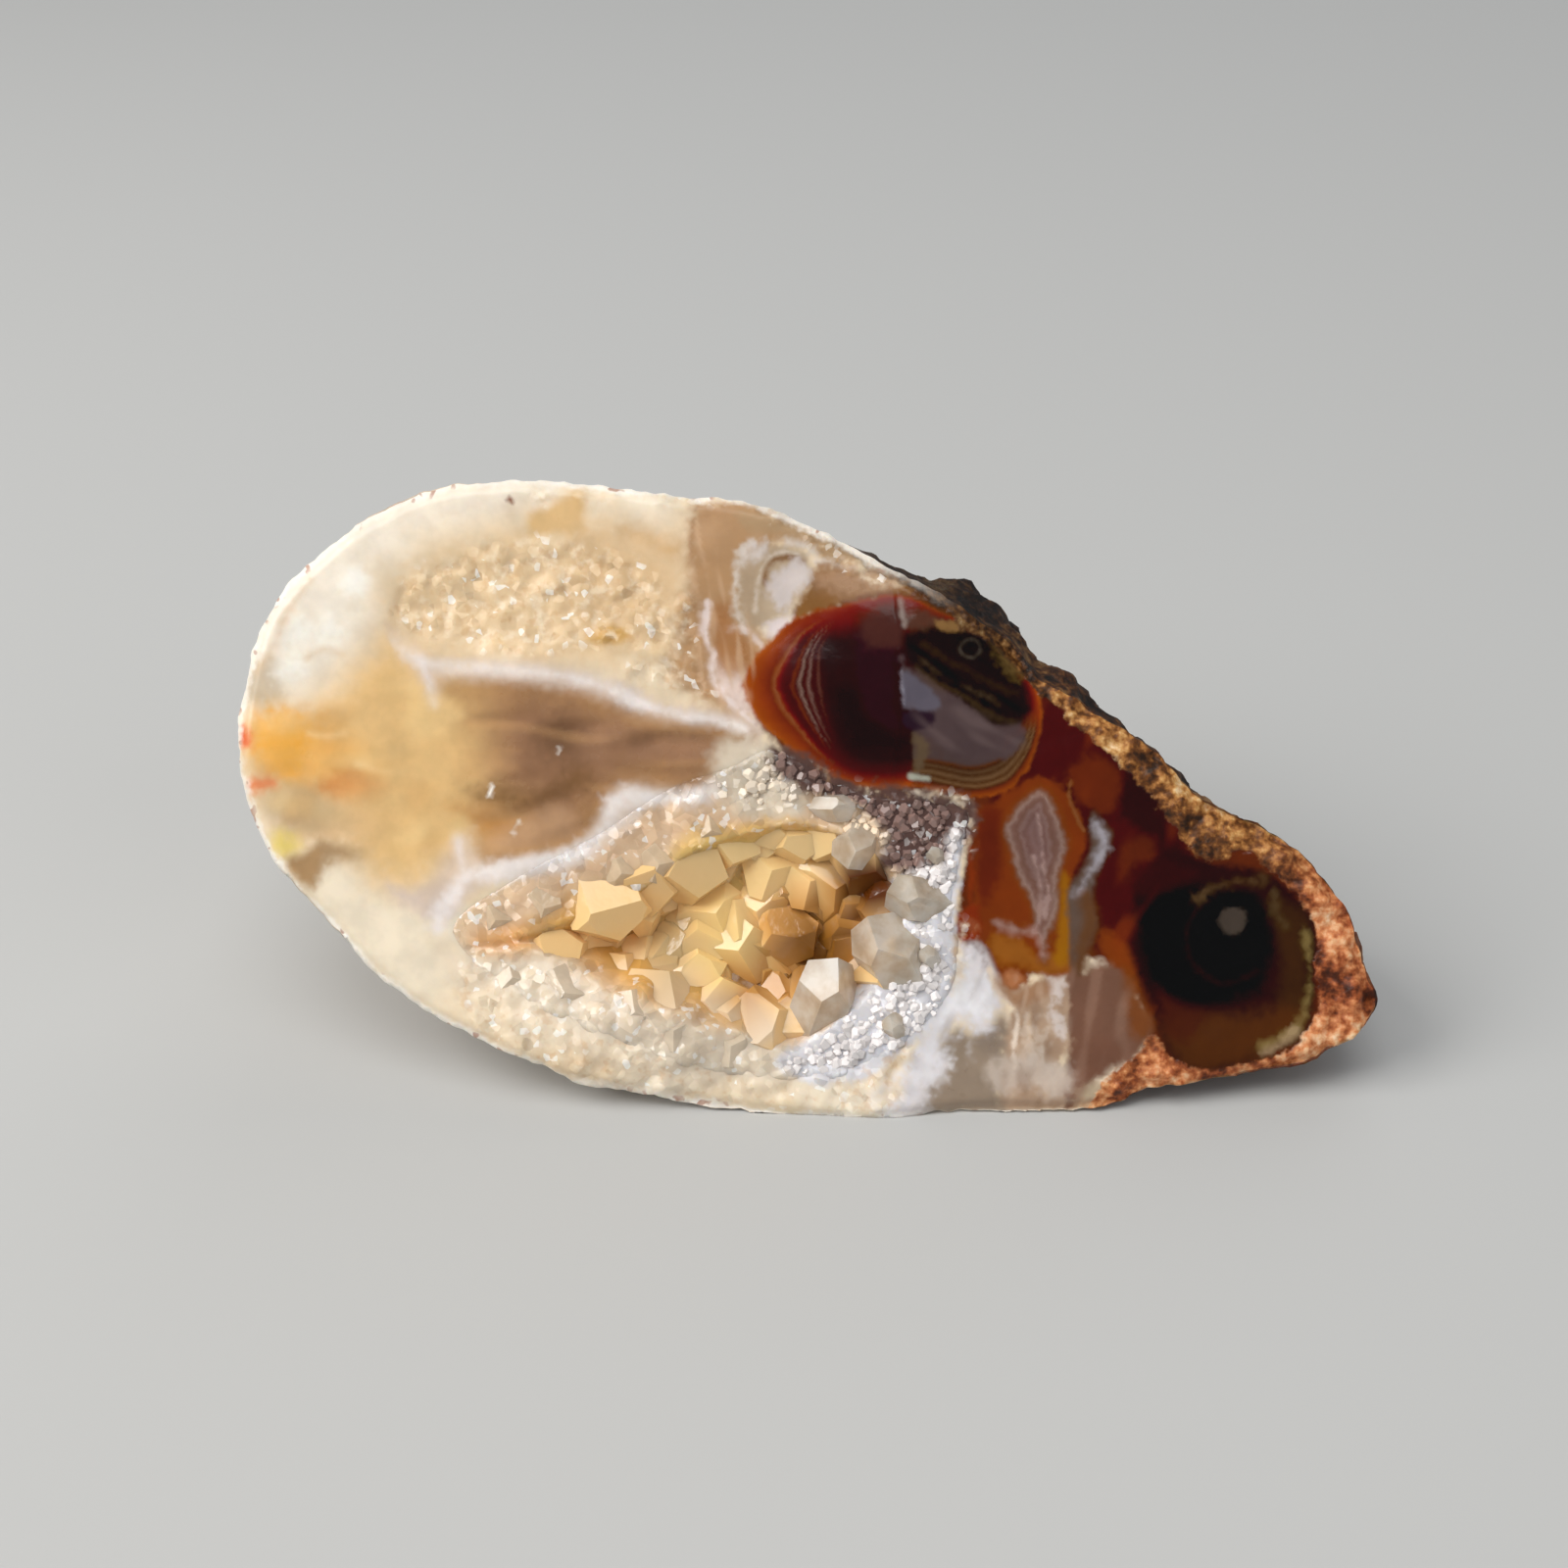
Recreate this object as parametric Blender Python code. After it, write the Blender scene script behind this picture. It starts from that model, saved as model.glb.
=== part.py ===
"""Agate geode: half of a chalcedony nodule, broken across, that rests on its own underside.

Metres, +Z up. The broken face looks towards -Y and leans back, and the rounded outside of the nodule
lies behind it, flat where it rests. Both pieces are drawn in millimetres in the plane of the broken
face, x along it, y up its slope and z out of it, and are then tilted into place.
"""

import math

import bmesh
import bpy
import numpy as np
from mathutils import Matrix, Vector, noise
from mathutils.geometry import delaunay_2d_cdt

# Driving dimensions, in millimetres unless the name says otherwise
MM = 0.001
FACE_LEAN_DEG = 33.0        # how far the broken face leans back from upright
BODY_DEPTH_LEFT = 15.5      # broken face to back, at the wide left lobe
BODY_DEPTH_RIGHT = 11.0     # broken face to back, at the narrow right lobe
RIM_SPACING = 1.15          # between mesh points along the rim
FACE_SPACING = 1.15         # between mesh points on the broken face
HOLLOW_SPACING = 0.95       # between mesh points in the hollow and under the druse
BACK_SPACING = 2.4          # between mesh points on the middle of the back
FULLNESS = 0.68             # of the body's section: 1 is an ellipse, less is squarer
SKIN_RINGS = 9              # rings of points from the rim to the middle of the back
LAST_RING_ANGLE = math.radians(72.0)    # of the last ring: the rim is at 0, the back at 90
OVERHANG_ANGLE = math.radians(30.0)     # how far past its widest the body is broken, upper right
RIGHT_LIFT = 0.55           # how much the right lobe rises for each millimetre towards the back
LEFT_LIFT = 0.15            # the same for the left lobe
FLOOR_HEIGHT = 0.1          # of the flat it rests on, above the foot of the face
CRUST_GAP = 0.3             # between the stone and the crystal crust
CRUST_THICKNESS = 0.9       # crust that the crystals stand on
CRUST_THINNEST = 0.35       # where that crust is cut off level with the broken face
CRUST_PROUD = 0.1           # how far it stands out of the face there
BED_DEPTH = 1.2             # crust's bed, below the broken face
HOLLOW_DEPTH = 8.2          # floor of the hollow, below the bed
HOLLOW_WALL = 4.4           # over which the hollow's wall rounds into its floor
WALL_FULLNESS = 0.85        # of that wall: 1 is a sine, less is squarer
CRYSTAL_SPACING = 2.1       # between neighbouring crystals in the hollow
DRUSE_SPACING = 1.35        # between the small crystals of the druse to its right
CRYSTAL_RADIUS = 1.25       # of the largest scattered crystals, across the corners
CRYSTAL_SEED = 11
TIP = 0.85                  # height of a crystal's pointed end over its radius
BASE_SUNK = 0.35            # how deep a crystal's base stands in the crust
BED_EDGE = 0.2              # width of the wall round the crust's bed
CRUST_EDGE = 0.5            # from the edge of the bed to the edge of the crust

# Rim of the broken face, clockwise from the top of the left lobe
RIM = [
    (-13.5, 29.1), (-10.2, 28.9), (-5.8, 28.4), (-2.6, 28.0), (0.9, 26.5), (3.6, 25.0), (6.3, 23.6),
    (8.6, 21.9), (10.4, 20.1), (12.6, 18.7), (15.6, 16.7), (17.8, 14.5), (20.6, 13.2), (22.6, 11.6),
    (24.2, 9.6), (25.0, 7.0), (25.6, 5.2), (24.6, 4.0), (22.4, 2.6), (18.6, 1.9), (15.4, 1.5),
    (12.5, 0.5), (7.6, 0.5), (3.1, 0.1), (-1.3, 0.2), (-5.8, 0.9), (-10.2, 1.7), (-13.2, 2.9),
    (-16.9, 4.6), (-19.5, 6.4), (-21.9, 8.9), (-24.1, 11.3), (-25.5, 13.9), (-26.1, 16.9),
    (-25.6, 20.5), (-24.6, 23.3), (-22.4, 25.7), (-20.0, 27.5), (-17.2, 28.7),
]

# Line inside the body that the skin closes round, from the left lobe to the right one
SPINE = [(-15.5, 15.5), (-7.0, 13.2), (4.0, 10.8), (16.0, 7.8), (18.5, 7.2)]

# Bed of the crystal crust, and the wall of the hollow inside it
CRUST_BED = [
    (-16.4, 8.6), (-13.4, 11.1), (-9.7, 13.1), (-6.6, 15.1), (-3.8, 16.1), (-1.8, 16.9), (0.7, 15.6),
    (3.2, 14.7), (5.6, 14.6), (7.0, 14.0), (6.8, 12.0), (6.3, 9.6), (6.6, 7.2), (5.6, 4.8), (3.4, 3.1),
    (0.8, 2.0), (-4.2, 2.2), (-8.7, 3.7), (-12.9, 5.6),
]
HOLLOW = [
    (-15.3, 8.5), (-13.0, 9.9), (-9.6, 11.9), (-6.4, 14.0), (-2.4, 14.9), (1.4, 13.3), (3.9, 10.2),
    (3.4, 7.2), (1.4, 4.9), (-0.8, 3.0), (-4.4, 3.2), (-8.6, 4.8), (-12.6, 6.7),
]

# Sunken sugary pocket above the core, and the dished eye of the right lobe
POCKET = [
    (-19.0, 22.4), (-18.6, 24.6), (-15.5, 26.2), (-11.5, 26.6), (-7.6, 25.6), (-6.2, 23.6),
    (-6.6, 21.4), (-10.5, 21.2), (-14.5, 21.2),
]
DARK_EYE = [
    (14.6, 10.5), (16.5, 12.0), (19.5, 11.6), (21.8, 9.8), (22.8, 7.0), (22.4, 4.2), (19.5, 2.8),
    (16.6, 2.9), (15.2, 5.6), (14.2, 8.0),
]
POCKET_DEPTH = 0.8
DARK_EYE_DEPTH = 1.3
BIG_EYE_CENTRE = (3.6, 20.2)
BIG_EYE_RADIUS = 6.2
BIG_EYE_RISE = 0.7
EYE_STEP_X = 4.2            # fracture step that crosses the big eye
EYE_STEP_DROP = 0.35
LIP_CENTRE = (-9.5, 4.2)    # sugary lip below the hollow
LIP_HALF_SIZE = (7.5, 3.0)
LIP_RISE = 0.9

# Bumps of the surfaces: size across, then height
FACE_SWELL = (7.0, 0.4)
FACE_RIPPLE = (2.4, 0.12)
POCKET_GRAIN = 1.9
MATRIX_GRAIN = (1.8, 0.9)   # coarse matrix of the rind, on the broken face
MATRIX_WIDTH = 2.1
SKIN_SWELL = (8.0, 0.7)
SKIN_RIPPLE = (2.8, 0.3)
SKIN_LUMP = (4.2, 1.3)
SKIN_GRAIN = (2.3, 0.9)     # coarse matrix of the rind, on the outside
RIM_ROUNDING = (1.3, 0.5)   # width of the rounded rim, and how far it drops
RIM_CHIP = (1.6, 0.16)

# Large crystals on the rim of the hollow: middle of the base, tip, radius and height above the face
RIM_CRYSTALS = [
    ((3.9, 5.4), (2.4, 9.2), 1.2, 0.5), ((0.6, 4.0), (0.8, 7.3), 1.25, 0.4),
    ((5.2, 9.9), (2.9, 10.2), 1.15, 0.4), ((1.9, 13.6), (1.6, 11.2), 1.05, 0.3),
    ((0.3, 14.6), (2.0, 13.9), 0.6, 0.7), ((-12.3, 10.4), (-11.8, 8.6), 1.1, 0.35),
    ((-14.4, 9.0), (-13.9, 8.2), 0.5, 0.3), ((-7.4, 12.8), (-6.6, 10.5), 1.1, 0.3),
    ((-9.0, 4.7), (-8.1, 6.3), 0.9, 0.2), ((-6.3, 3.6), (-6.0, 5.6), 0.95, 0.1),
    ((-3.7, 3.3), (-3.4, 5.1), 0.9, 0.1), ((-10.0, 11.6), (-9.4, 10.2), 0.8, 0.3),
]


def smooth_loop(points, spacing):
    """Return points at an even spacing along the smooth closed curve through the given ones."""
    steps = np.linspace(0.0, 1.0, 24, endpoint=False)[:, None]
    ring = np.array(points, dtype=float)
    arcs = []
    for i in range(len(ring)):
        a, b, c, d = (ring[(i + k) % len(ring)] for k in (-1, 0, 1, 2))
        arcs.append(b + 0.5 * steps * (c - a + steps * (2 * a - 5 * b + 4 * c - d)
                                       + steps ** 2 * (3 * b - a - 3 * c + d)))
    fine = np.vstack(arcs + [ring[:1]])
    length = np.concatenate([[0.0], np.cumsum(np.linalg.norm(np.diff(fine, axis=0), axis=1))])
    count = int(round(length[-1] / spacing))
    at = np.arange(count) * length[-1] / count
    return np.stack([np.interp(at, length, fine[:, 0]), np.interp(at, length, fine[:, 1])], axis=1)


def distance_inside(points, loop):
    """Return each point's distance to the closed loop, positive inside and negative outside."""
    p = points[:, None, :]
    a = loop[None, :, :]
    b = np.roll(loop, -1, 0)[None, :, :]
    along = np.clip(((p - a) * (b - a)).sum(2) / ((b - a) ** 2).sum(2), 0.0, 1.0)
    gap = np.linalg.norm(p - a - along[..., None] * (b - a), axis=2).min(1)
    crosses = (a[..., 1] > p[..., 1]) != (b[..., 1] > p[..., 1])
    rise = np.where(crosses, b[..., 1] - a[..., 1], 1.0)
    reach = a[..., 0] + (p[..., 1] - a[..., 1]) * (b[..., 0] - a[..., 0]) / rise
    inside = (crosses & (p[..., 0] < reach)).sum(1) % 2 == 1
    return np.where(inside, gap, -gap)


def inwards(loop):
    """Return the unit direction into the clockwise loop at each of its points."""
    run = np.roll(loop, -1, 0) - np.roll(loop, 1, 0)
    run /= np.linalg.norm(run, axis=1)[:, None]
    return np.stack([run[:, 1], -run[:, 0]], axis=1)


def ease(value, low, high):
    """Return 0 below low, 1 above high, and a smooth step between."""
    u = np.clip((value - low) / (high - low), 0.0, 1.0)
    return u * u * (3.0 - 2.0 * u)


def rough(points, size, layer):
    """Return smooth noise from -1 to 1 that changes over about the given size, from its own layer."""
    flat = np.zeros((len(points), 3))
    flat[:, :points.shape[1]] = points / size
    return np.array([noise.noise(Vector(p) + Vector((layer, layer, layer))) for p in flat])


def bumps(points, size_and_height, layer):
    """Return smooth bumps of the given size and height, from their own layer of noise."""
    size, height = size_and_height
    return height * rough(points, size, layer)


def grains(points, size):
    """Return rounded lumps of about the given size, 0 in their creases and 1 on top."""
    flat = np.zeros((len(points), 3))
    flat[:, :points.shape[1]] = points / size
    return np.array([1.0 - min(1.0, noise.voronoi(Vector(p))[0][0]) for p in flat])


def matrix_share(points):
    """Return how far each point belongs to the coarse matrix of the right-hand rind, from 0 to 1."""
    x, y = points[:, 0], points[:, 1]
    return ease(x + 0.9 * (y - 12.0), 12.0, 16.0)


def broken_face(points):
    """Return the height of the broken face, before the hollow is sunk into it."""
    edge = distance_inside(points, rim)
    height = bumps(points, FACE_SWELL, 0.0) + bumps(points, FACE_RIPPLE, 5.0)
    height -= RIM_ROUNDING[1] * (1.0 - ease(edge, 0.0, RIM_ROUNDING[0]))

    eye = np.linalg.norm(points - BIG_EYE_CENTRE, axis=1)
    height += BIG_EYE_RISE * (1.0 - ease(eye, 0.3 * BIG_EYE_RADIUS, 1.1 * BIG_EYE_RADIUS))
    height -= EYE_STEP_DROP * ease(points[:, 0], EYE_STEP_X, EYE_STEP_X + 0.7) * (eye < BIG_EYE_RADIUS)

    in_pocket = ease(distance_inside(points, pocket), 0.0, 1.2)
    height -= POCKET_DEPTH * in_pocket * (1.0 - 0.5 * grains(points, POCKET_GRAIN))
    height -= DARK_EYE_DEPTH * ease(distance_inside(points, dark_eye), 0.0, 3.2)

    lip = np.linalg.norm((points - LIP_CENTRE) / LIP_HALF_SIZE, axis=1)
    height += LIP_RISE * (1.0 - ease(lip, 0.2, 1.2))

    rind = matrix_share(points) * (1.0 - ease(edge, 0.67 * MATRIX_WIDTH, 1.33 * MATRIX_WIDTH))
    return height + rind * MATRIX_GRAIN[1] * (grains(points, MATRIX_GRAIN[0]) - 0.45)


def stone_surface(points):
    """Return the height of the stone with the crust's bed and the hollow sunk into it."""
    bed = ease(distance_inside(points, crust_bed), 0.0, BED_EDGE)
    wall = np.clip(distance_inside(points, hollow) / HOLLOW_WALL, 0.0, 1.0)
    shallow_left = 0.35 + 0.65 * ease(points[:, 0], -15.0, -6.5)
    shallow_foot = 0.72 + 0.28 * ease(points[:, 1], 4.0, 9.0)
    depth = HOLLOW_DEPTH * shallow_left * shallow_foot * np.sin(0.5 * math.pi * wall) ** WALL_FULLNESS
    return broken_face(points) - BED_DEPTH * bed - depth


def slope_stretch(points):
    """Return how much longer a wall's vertical thickness is than its true one, at each point."""
    step = 0.15
    right = stone_surface(points + (step, 0.0)) - stone_surface(points - (step, 0.0))
    up = stone_surface(points + (0.0, step)) - stone_surface(points - (0.0, step))
    return np.sqrt(1.0 + (right / (2 * step)) ** 2 + (up / (2 * step)) ** 2)


def crust_surfaces(points):
    """Return the heights of the underside and the top of the crust that the crystals stand on."""
    stretch = slope_stretch(points)
    below = stone_surface(points) + CRUST_GAP * stretch
    above = np.minimum(below + CRUST_THICKNESS * stretch, broken_face(points) + CRUST_PROUD)
    return below, np.maximum(above, below + CRUST_THINNEST)


def scattered(loop, spacing, keep_clear):
    """Return a slightly uneven triangular grid of points inside the loop, clear of all given lines."""
    low, high = loop.min(0), loop.max(0)
    rows = np.arange(low[1], high[1], spacing * 0.866)
    grid = [(x + 0.5 * spacing * (row % 2), y) for row, y in enumerate(rows)
            for x in np.arange(low[0], high[0], spacing)]
    grid = np.array(grid)
    shift = np.stack([rough(grid, 0.7, 20.0), rough(grid, 0.7, 30.0)], axis=1)
    grid += 0.3 * spacing * shift
    grid = grid[distance_inside(grid, loop) > 0.55 * spacing]
    for line in keep_clear:
        grid = grid[np.abs(distance_inside(grid, line)) > 0.5 * spacing]
    return grid


def triangulate(loops, loose):
    """Return points and triangles that fill the first loop, with every loop kept as edges.

    The first loop's points keep their order at the start of the returned points.
    """
    points = np.vstack(loops + [loose])
    edges = []
    start = 0
    for loop in loops:
        edges += [(start + i, start + (i + 1) % len(loop)) for i in range(len(loop))]
        start += len(loop)
    result = delaunay_2d_cdt([Vector(p) for p in points], edges, [], 1, 1e-5)
    place = {}
    for index, sources in enumerate(result[3]):
        for source in sources:
            place[source] = index
    order = [place[i] for i in range(len(loops[0]))]
    order += [i for i in range(len(result[0])) if i not in set(order)]
    new_index = {old: new for new, old in enumerate(order)}
    flat = np.array([result[0][i] for i in order])
    return flat, [[new_index[i] for i in face] for face in result[2]]


def spine_place(points):
    """Return the nearest place on the spine to each point, and how far along it lies, from 0 to 1."""
    line = np.array(SPINE)
    steps = np.linspace(0.0, len(line) - 1.0, 200)
    fine = np.stack([np.interp(steps, range(len(line)), line[:, k]) for k in (0, 1)], axis=1)
    nearest = np.linalg.norm(points[:, None] - fine[None], axis=2).argmin(1)
    return fine[nearest], nearest / (len(fine) - 1.0)


def skin_ring(angle):
    """Return the ring of the nodule's outside at an angle from the rim, 0, to the back, a right angle."""
    foot, along = spine_place(rim)
    out = rim - foot
    upper_side = 0.35 + 0.65 * ease(rim[:, 1] + 0.3 * rim[:, 0], 8.0, 13.0)
    start = -OVERHANG_ANGLE * upper_side * ease(rim[:, 0], 0.0, 7.0)
    turn = start + (0.5 * math.pi - start) * angle / (0.5 * math.pi)
    scale = (np.cos(turn) / np.cos(start)) ** FULLNESS
    depth = (1.0 - along) * BODY_DEPTH_LEFT + along * BODY_DEPTH_RIGHT
    depth = depth * (np.sin(turn) - np.sin(start)) / (1.0 - np.sin(start))
    lift = RIGHT_LIFT * ease(rim[:, 0], 12.0, 17.0) + LEFT_LIFT * ease(-rim[:, 0], 8.0, 20.0)
    ring = np.hstack([foot + out * scale[:, None], -depth[:, None]])
    ring[:, 1] += lift * depth
    return ring


def new_object(name, vertices, faces, material, parent):
    """Return an object made from points in millimetres, its faces pointing outwards."""
    mesh = bpy.data.meshes.new(name)
    mesh.from_pydata([Vector(v) * MM for v in vertices], [], faces)
    shape = bmesh.new()
    shape.from_mesh(mesh)
    bmesh.ops.recalc_face_normals(shape, faces=shape.faces)
    shape.to_mesh(mesh)
    shape.free()
    mesh.materials.append(material)
    item = bpy.data.objects.new(name, mesh)
    bpy.context.collection.objects.link(item)
    item.parent = parent
    return item


def new_material(name, colour, roughness, transmission):
    """Return a Principled material with the given finish."""
    material = bpy.data.materials.new(name)
    material.use_nodes = True
    shader = material.node_tree.nodes["Principled BSDF"]
    shader.inputs["Base Color"].default_value = (*colour, 1.0)
    shader.inputs["Roughness"].default_value = roughness
    shader.inputs["Metallic"].default_value = 0.0
    shader.inputs["Transmission Weight"].default_value = transmission
    return material


def weathered(points, faces):
    """Return the points moved out and in along their normals by the bumps of the nodule's skin."""
    shape = bmesh.new()
    corners = [shape.verts.new(p) for p in points]
    for face in faces:
        shape.faces.new([corners[i] for i in face])
    bmesh.ops.recalc_face_normals(shape, faces=shape.faces)
    shape.normal_update()
    normals = np.array([v.normal for v in shape.verts])
    shape.free()
    bump = bumps(points, SKIN_SWELL, 3.0) + bumps(points, SKIN_RIPPLE, 9.0)
    bump += SKIN_LUMP[1] * (grains(points, SKIN_LUMP[0]) - 0.5)
    bump += SKIN_GRAIN[1] * matrix_share(points) * (grains(points, SKIN_GRAIN[0]) - 0.5)
    return points + normals * bump[:, None]


def resting(points):
    """Return the points with every one below the floor raised straight up to it."""
    lean = math.radians(FACE_LEAN_DEG)
    up = np.array([0.0, math.cos(lean), math.sin(lean)])
    sunk = np.maximum(FLOOR_HEIGHT - points @ up, 0.0)
    return points + sunk[:, None] * up


def make_nodule(parent):
    """Make the stone as one closed solid: broken face, hollow, bumpy skin and the flat it rests on."""
    wide = scattered(rim, FACE_SPACING, [crust_bed])
    wide = wide[distance_inside(wide, crust_bed) < 0.0]
    flat, faces = triangulate([rim, crust_bed, bed_foot], np.vstack([wide, bed_points]))
    points = [np.hstack([flat, stone_surface(flat)[:, None]])]

    count, total = len(rim), len(flat)
    previous = list(range(count))
    for step in range(1, SKIN_RINGS + 1):
        points.append(skin_ring(LAST_RING_ANGLE * step / SKIN_RINGS))
        current = list(range(total, total + count))
        total += count
        for i in range(count):
            j = (i + 1) % count
            faces.append([previous[i], previous[j], current[j]])
            faces.append([previous[i], current[j], current[i]])
        previous = current

    last_ring = points[-1]
    cap, cap_faces = triangulate([last_ring[:, :2]], scattered(last_ring[:, :2], BACK_SPACING, []))
    inner = cap[count:]
    nearest = np.linalg.norm(inner[:, None] - last_ring[None, :, :2], axis=2).argmin(1)
    crown = 1.0 + 0.06 * ease(distance_inside(inner, last_ring[:, :2]), 0.0, 5.0)
    points.append(np.hstack([inner, (last_ring[nearest, 2] * crown)[:, None]]))
    lookup = previous + list(range(total, total + len(inner)))
    faces += [[lookup[i] for i in face] for face in cap_faces]

    points = np.vstack(points)
    skin = slice(len(flat), len(points))
    points[skin] = weathered(points, faces)[skin]
    return new_object("agate_nodule", resting(points), faces, stone_material, parent)


def crystal(base, axis, radius, length, turn):
    """Return the points and faces of one six-sided crystal with a blunt six-faced tip."""
    side = axis.orthogonal().normalized()
    points = []
    for level, ring_radius in ((0.0, radius), (length, 0.97 * radius)):
        for k in range(6):
            around = Matrix.Rotation(turn + k * math.pi / 3.0, 3, axis) @ side
            bend = 0.12 * radius * (-1) ** k if level else 0.0
            points.append(base + axis * (level + bend) + around * ring_radius)
    points.append(base + axis * (length + TIP * radius) + side * 0.15 * radius)
    faces = [[5, 4, 3, 2, 1, 0]]
    for k in range(6):
        j = (k + 1) % 6
        faces.append([k, j, 6 + j, 6 + k])
        faces.append([6 + k, 6 + j, 12])
    return points, faces


def crystal_places(edge, rng):
    """Return where crystals stand on the crust, and the clear space round each."""
    low, high = edge.min(0), edge.max(0)
    tries = rng.uniform(low, high, (2600, 2))
    room = distance_inside(tries, edge)
    tries, room = tries[room > 0.45], room[room > 0.45]
    in_hollow = ease(distance_inside(tries, hollow), 0.0, 0.8)
    spacing = DRUSE_SPACING + (CRYSTAL_SPACING - DRUSE_SPACING) * in_hollow
    tops = np.hstack([tries, crust_surfaces(tries)[1][:, None]])
    kept = []
    for i in range(len(tops)):
        if all(np.linalg.norm(tops[i] - tops[k]) > spacing[i] for k in kept):
            kept.append(i)
    return tops[kept], room[kept], spacing[kept] / CRYSTAL_SPACING


def crust_normals(points):
    """Return the direction in which the top of the crust faces at each point."""
    step = 0.3
    right = crust_surfaces(points + (step, 0.0))[1] - crust_surfaces(points - (step, 0.0))[1]
    up = crust_surfaces(points + (0.0, step))[1] - crust_surfaces(points - (0.0, step))[1]
    return [Vector((-a, -b, 2 * step)).normalized() for a, b in zip(right, up)]


def grown_crystals(edge):
    """Return the points and faces of all the crystals of the crust, large ones on the rim first."""
    rng = np.random.default_rng(CRYSTAL_SEED)
    shapes = []
    for base, tip, radius, height in RIM_CRYSTALS:
        level = broken_face(np.array([base]))[0] + height
        foot = Vector((*base, level))
        axis = Vector((*tip, level + 0.25)) - foot
        shapes.append(crystal(foot, axis.normalized(), radius, axis.length - TIP * radius, 0.3))
    tops, room, share = crystal_places(edge, rng)
    for top, normal, space, part in zip(tops, crust_normals(tops[:, :2]), room, share):
        axis = (normal + Vector(rng.normal(0.0, 0.2, 3))).normalized()
        radius = min(CRYSTAL_RADIUS * part * rng.uniform(0.75, 1.0), 0.9 * space)
        length = BASE_SUNK + radius * rng.uniform(0.1, 0.6)
        shapes.append(crystal(Vector(top) - axis * BASE_SUNK, axis, radius, length, rng.uniform(0.0, 1.0)))
    points, faces = [], []
    for shape_points, shape_faces in shapes:
        faces += [[len(points) + k for k in face] for face in shape_faces]
        points += shape_points
    return points, faces


def make_crust(parent):
    """Make the crust: a skin over its bed and the hollow, with flat-faced crystals grown out of it."""
    edge = crust_bed + CRUST_EDGE * inwards(crust_bed)
    inner = bed_points[distance_inside(bed_points, edge) > 0.4 * HOLLOW_SPACING]
    flat, tops = triangulate([edge], inner)
    below, above = crust_surfaces(flat)
    count = len(flat)
    points = np.vstack([np.hstack([flat, below[:, None]]), np.hstack([flat, above[:, None]])])
    faces = [list(reversed(face)) for face in tops] + [[count + i for i in face] for face in tops]
    for i in range(len(edge)):
        j = (i + 1) % len(edge)
        faces.append([i, j, count + j, count + i])
    crust = new_object("quartz_crust", points, faces, quartz_material, parent)

    grown = new_object("crystals", *grown_crystals(edge), quartz_material, parent)
    grown.hide_render = True
    grown.display_type = "WIRE"
    union = crust.modifiers.new("crystals grown on", "BOOLEAN")
    union.operation = "UNION"
    union.object = grown
    union.use_self = True
    return crust


for item in list(bpy.data.objects):
    bpy.data.objects.remove(item)

rim = smooth_loop(RIM, RIM_SPACING)
rim += inwards(rim) * bumps(rim, RIM_CHIP, 40.0)[:, None]
crust_bed = smooth_loop(CRUST_BED, 0.9)
hollow = smooth_loop(HOLLOW, 0.8)
pocket = smooth_loop(POCKET, 1.0)
dark_eye = smooth_loop(DARK_EYE, 1.0)
bed_foot = crust_bed + BED_EDGE * inwards(crust_bed)
bed_points = scattered(bed_foot, HOLLOW_SPACING, [])

stone_material = new_material("chalcedony", (0.78, 0.66, 0.5), 0.3, 0.0)
quartz_material = new_material("quartz", (0.9, 0.8, 0.6), 0.05, 0.8)

geode = bpy.data.objects.new("geode", None)
bpy.context.collection.objects.link(geode)
geode.rotation_euler = (math.radians(90.0 - FACE_LEAN_DEG), 0.0, 0.0)

nodule = make_nodule(geode)
make_crust(geode)

bpy.context.view_layer.update()
corners = np.array([geode.matrix_world @ v.co for v in nodule.data.vertices])
geode.location = (-0.5 * (corners.min(0) + corners.max(0))[0],
                  -0.5 * (corners.min(0) + corners.max(0))[1],
                  -corners.min(0)[2])
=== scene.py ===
"""Looks of the agate geode: the stone, the crust of quartz in its hollow, and the crystals on it.

Shapes are drawn in millimetres in the plane of the broken face, x along it, y up its slope and z out of
it, and are turned into the row frame, in metres, when their mesh is made.
"""

import math

import bmesh
import bpy
import numpy as np
from mathutils import Matrix, Vector, kdtree, noise
from mathutils.geometry import delaunay_2d_cdt


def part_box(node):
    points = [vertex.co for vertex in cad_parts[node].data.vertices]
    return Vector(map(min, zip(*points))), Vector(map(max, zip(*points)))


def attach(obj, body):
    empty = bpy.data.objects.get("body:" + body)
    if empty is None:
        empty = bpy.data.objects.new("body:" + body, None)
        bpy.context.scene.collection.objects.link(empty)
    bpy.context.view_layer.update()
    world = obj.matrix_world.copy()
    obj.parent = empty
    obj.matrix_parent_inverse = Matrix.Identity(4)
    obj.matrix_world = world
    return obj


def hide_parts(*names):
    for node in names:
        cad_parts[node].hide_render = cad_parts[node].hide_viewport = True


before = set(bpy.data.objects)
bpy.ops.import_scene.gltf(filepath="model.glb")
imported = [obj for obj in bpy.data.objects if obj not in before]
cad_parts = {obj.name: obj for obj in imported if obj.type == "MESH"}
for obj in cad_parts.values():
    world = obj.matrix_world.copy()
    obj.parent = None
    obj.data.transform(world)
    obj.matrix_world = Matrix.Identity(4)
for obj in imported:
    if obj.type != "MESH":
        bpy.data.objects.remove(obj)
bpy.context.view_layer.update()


# The nodule. Half of a nodule of chalcedony and agate, one stone with its thin rind: pale on the left
# lobe, banded in carnelian and near-black on the right one. It grew in layers in a hole in the rock and
# was broken across by a blow, so its face is a glassy fracture and its outside is knobbly.
MM = 0.001
FACE_LEAN = math.radians(33.0)      # how far the broken face leans back from upright
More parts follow.
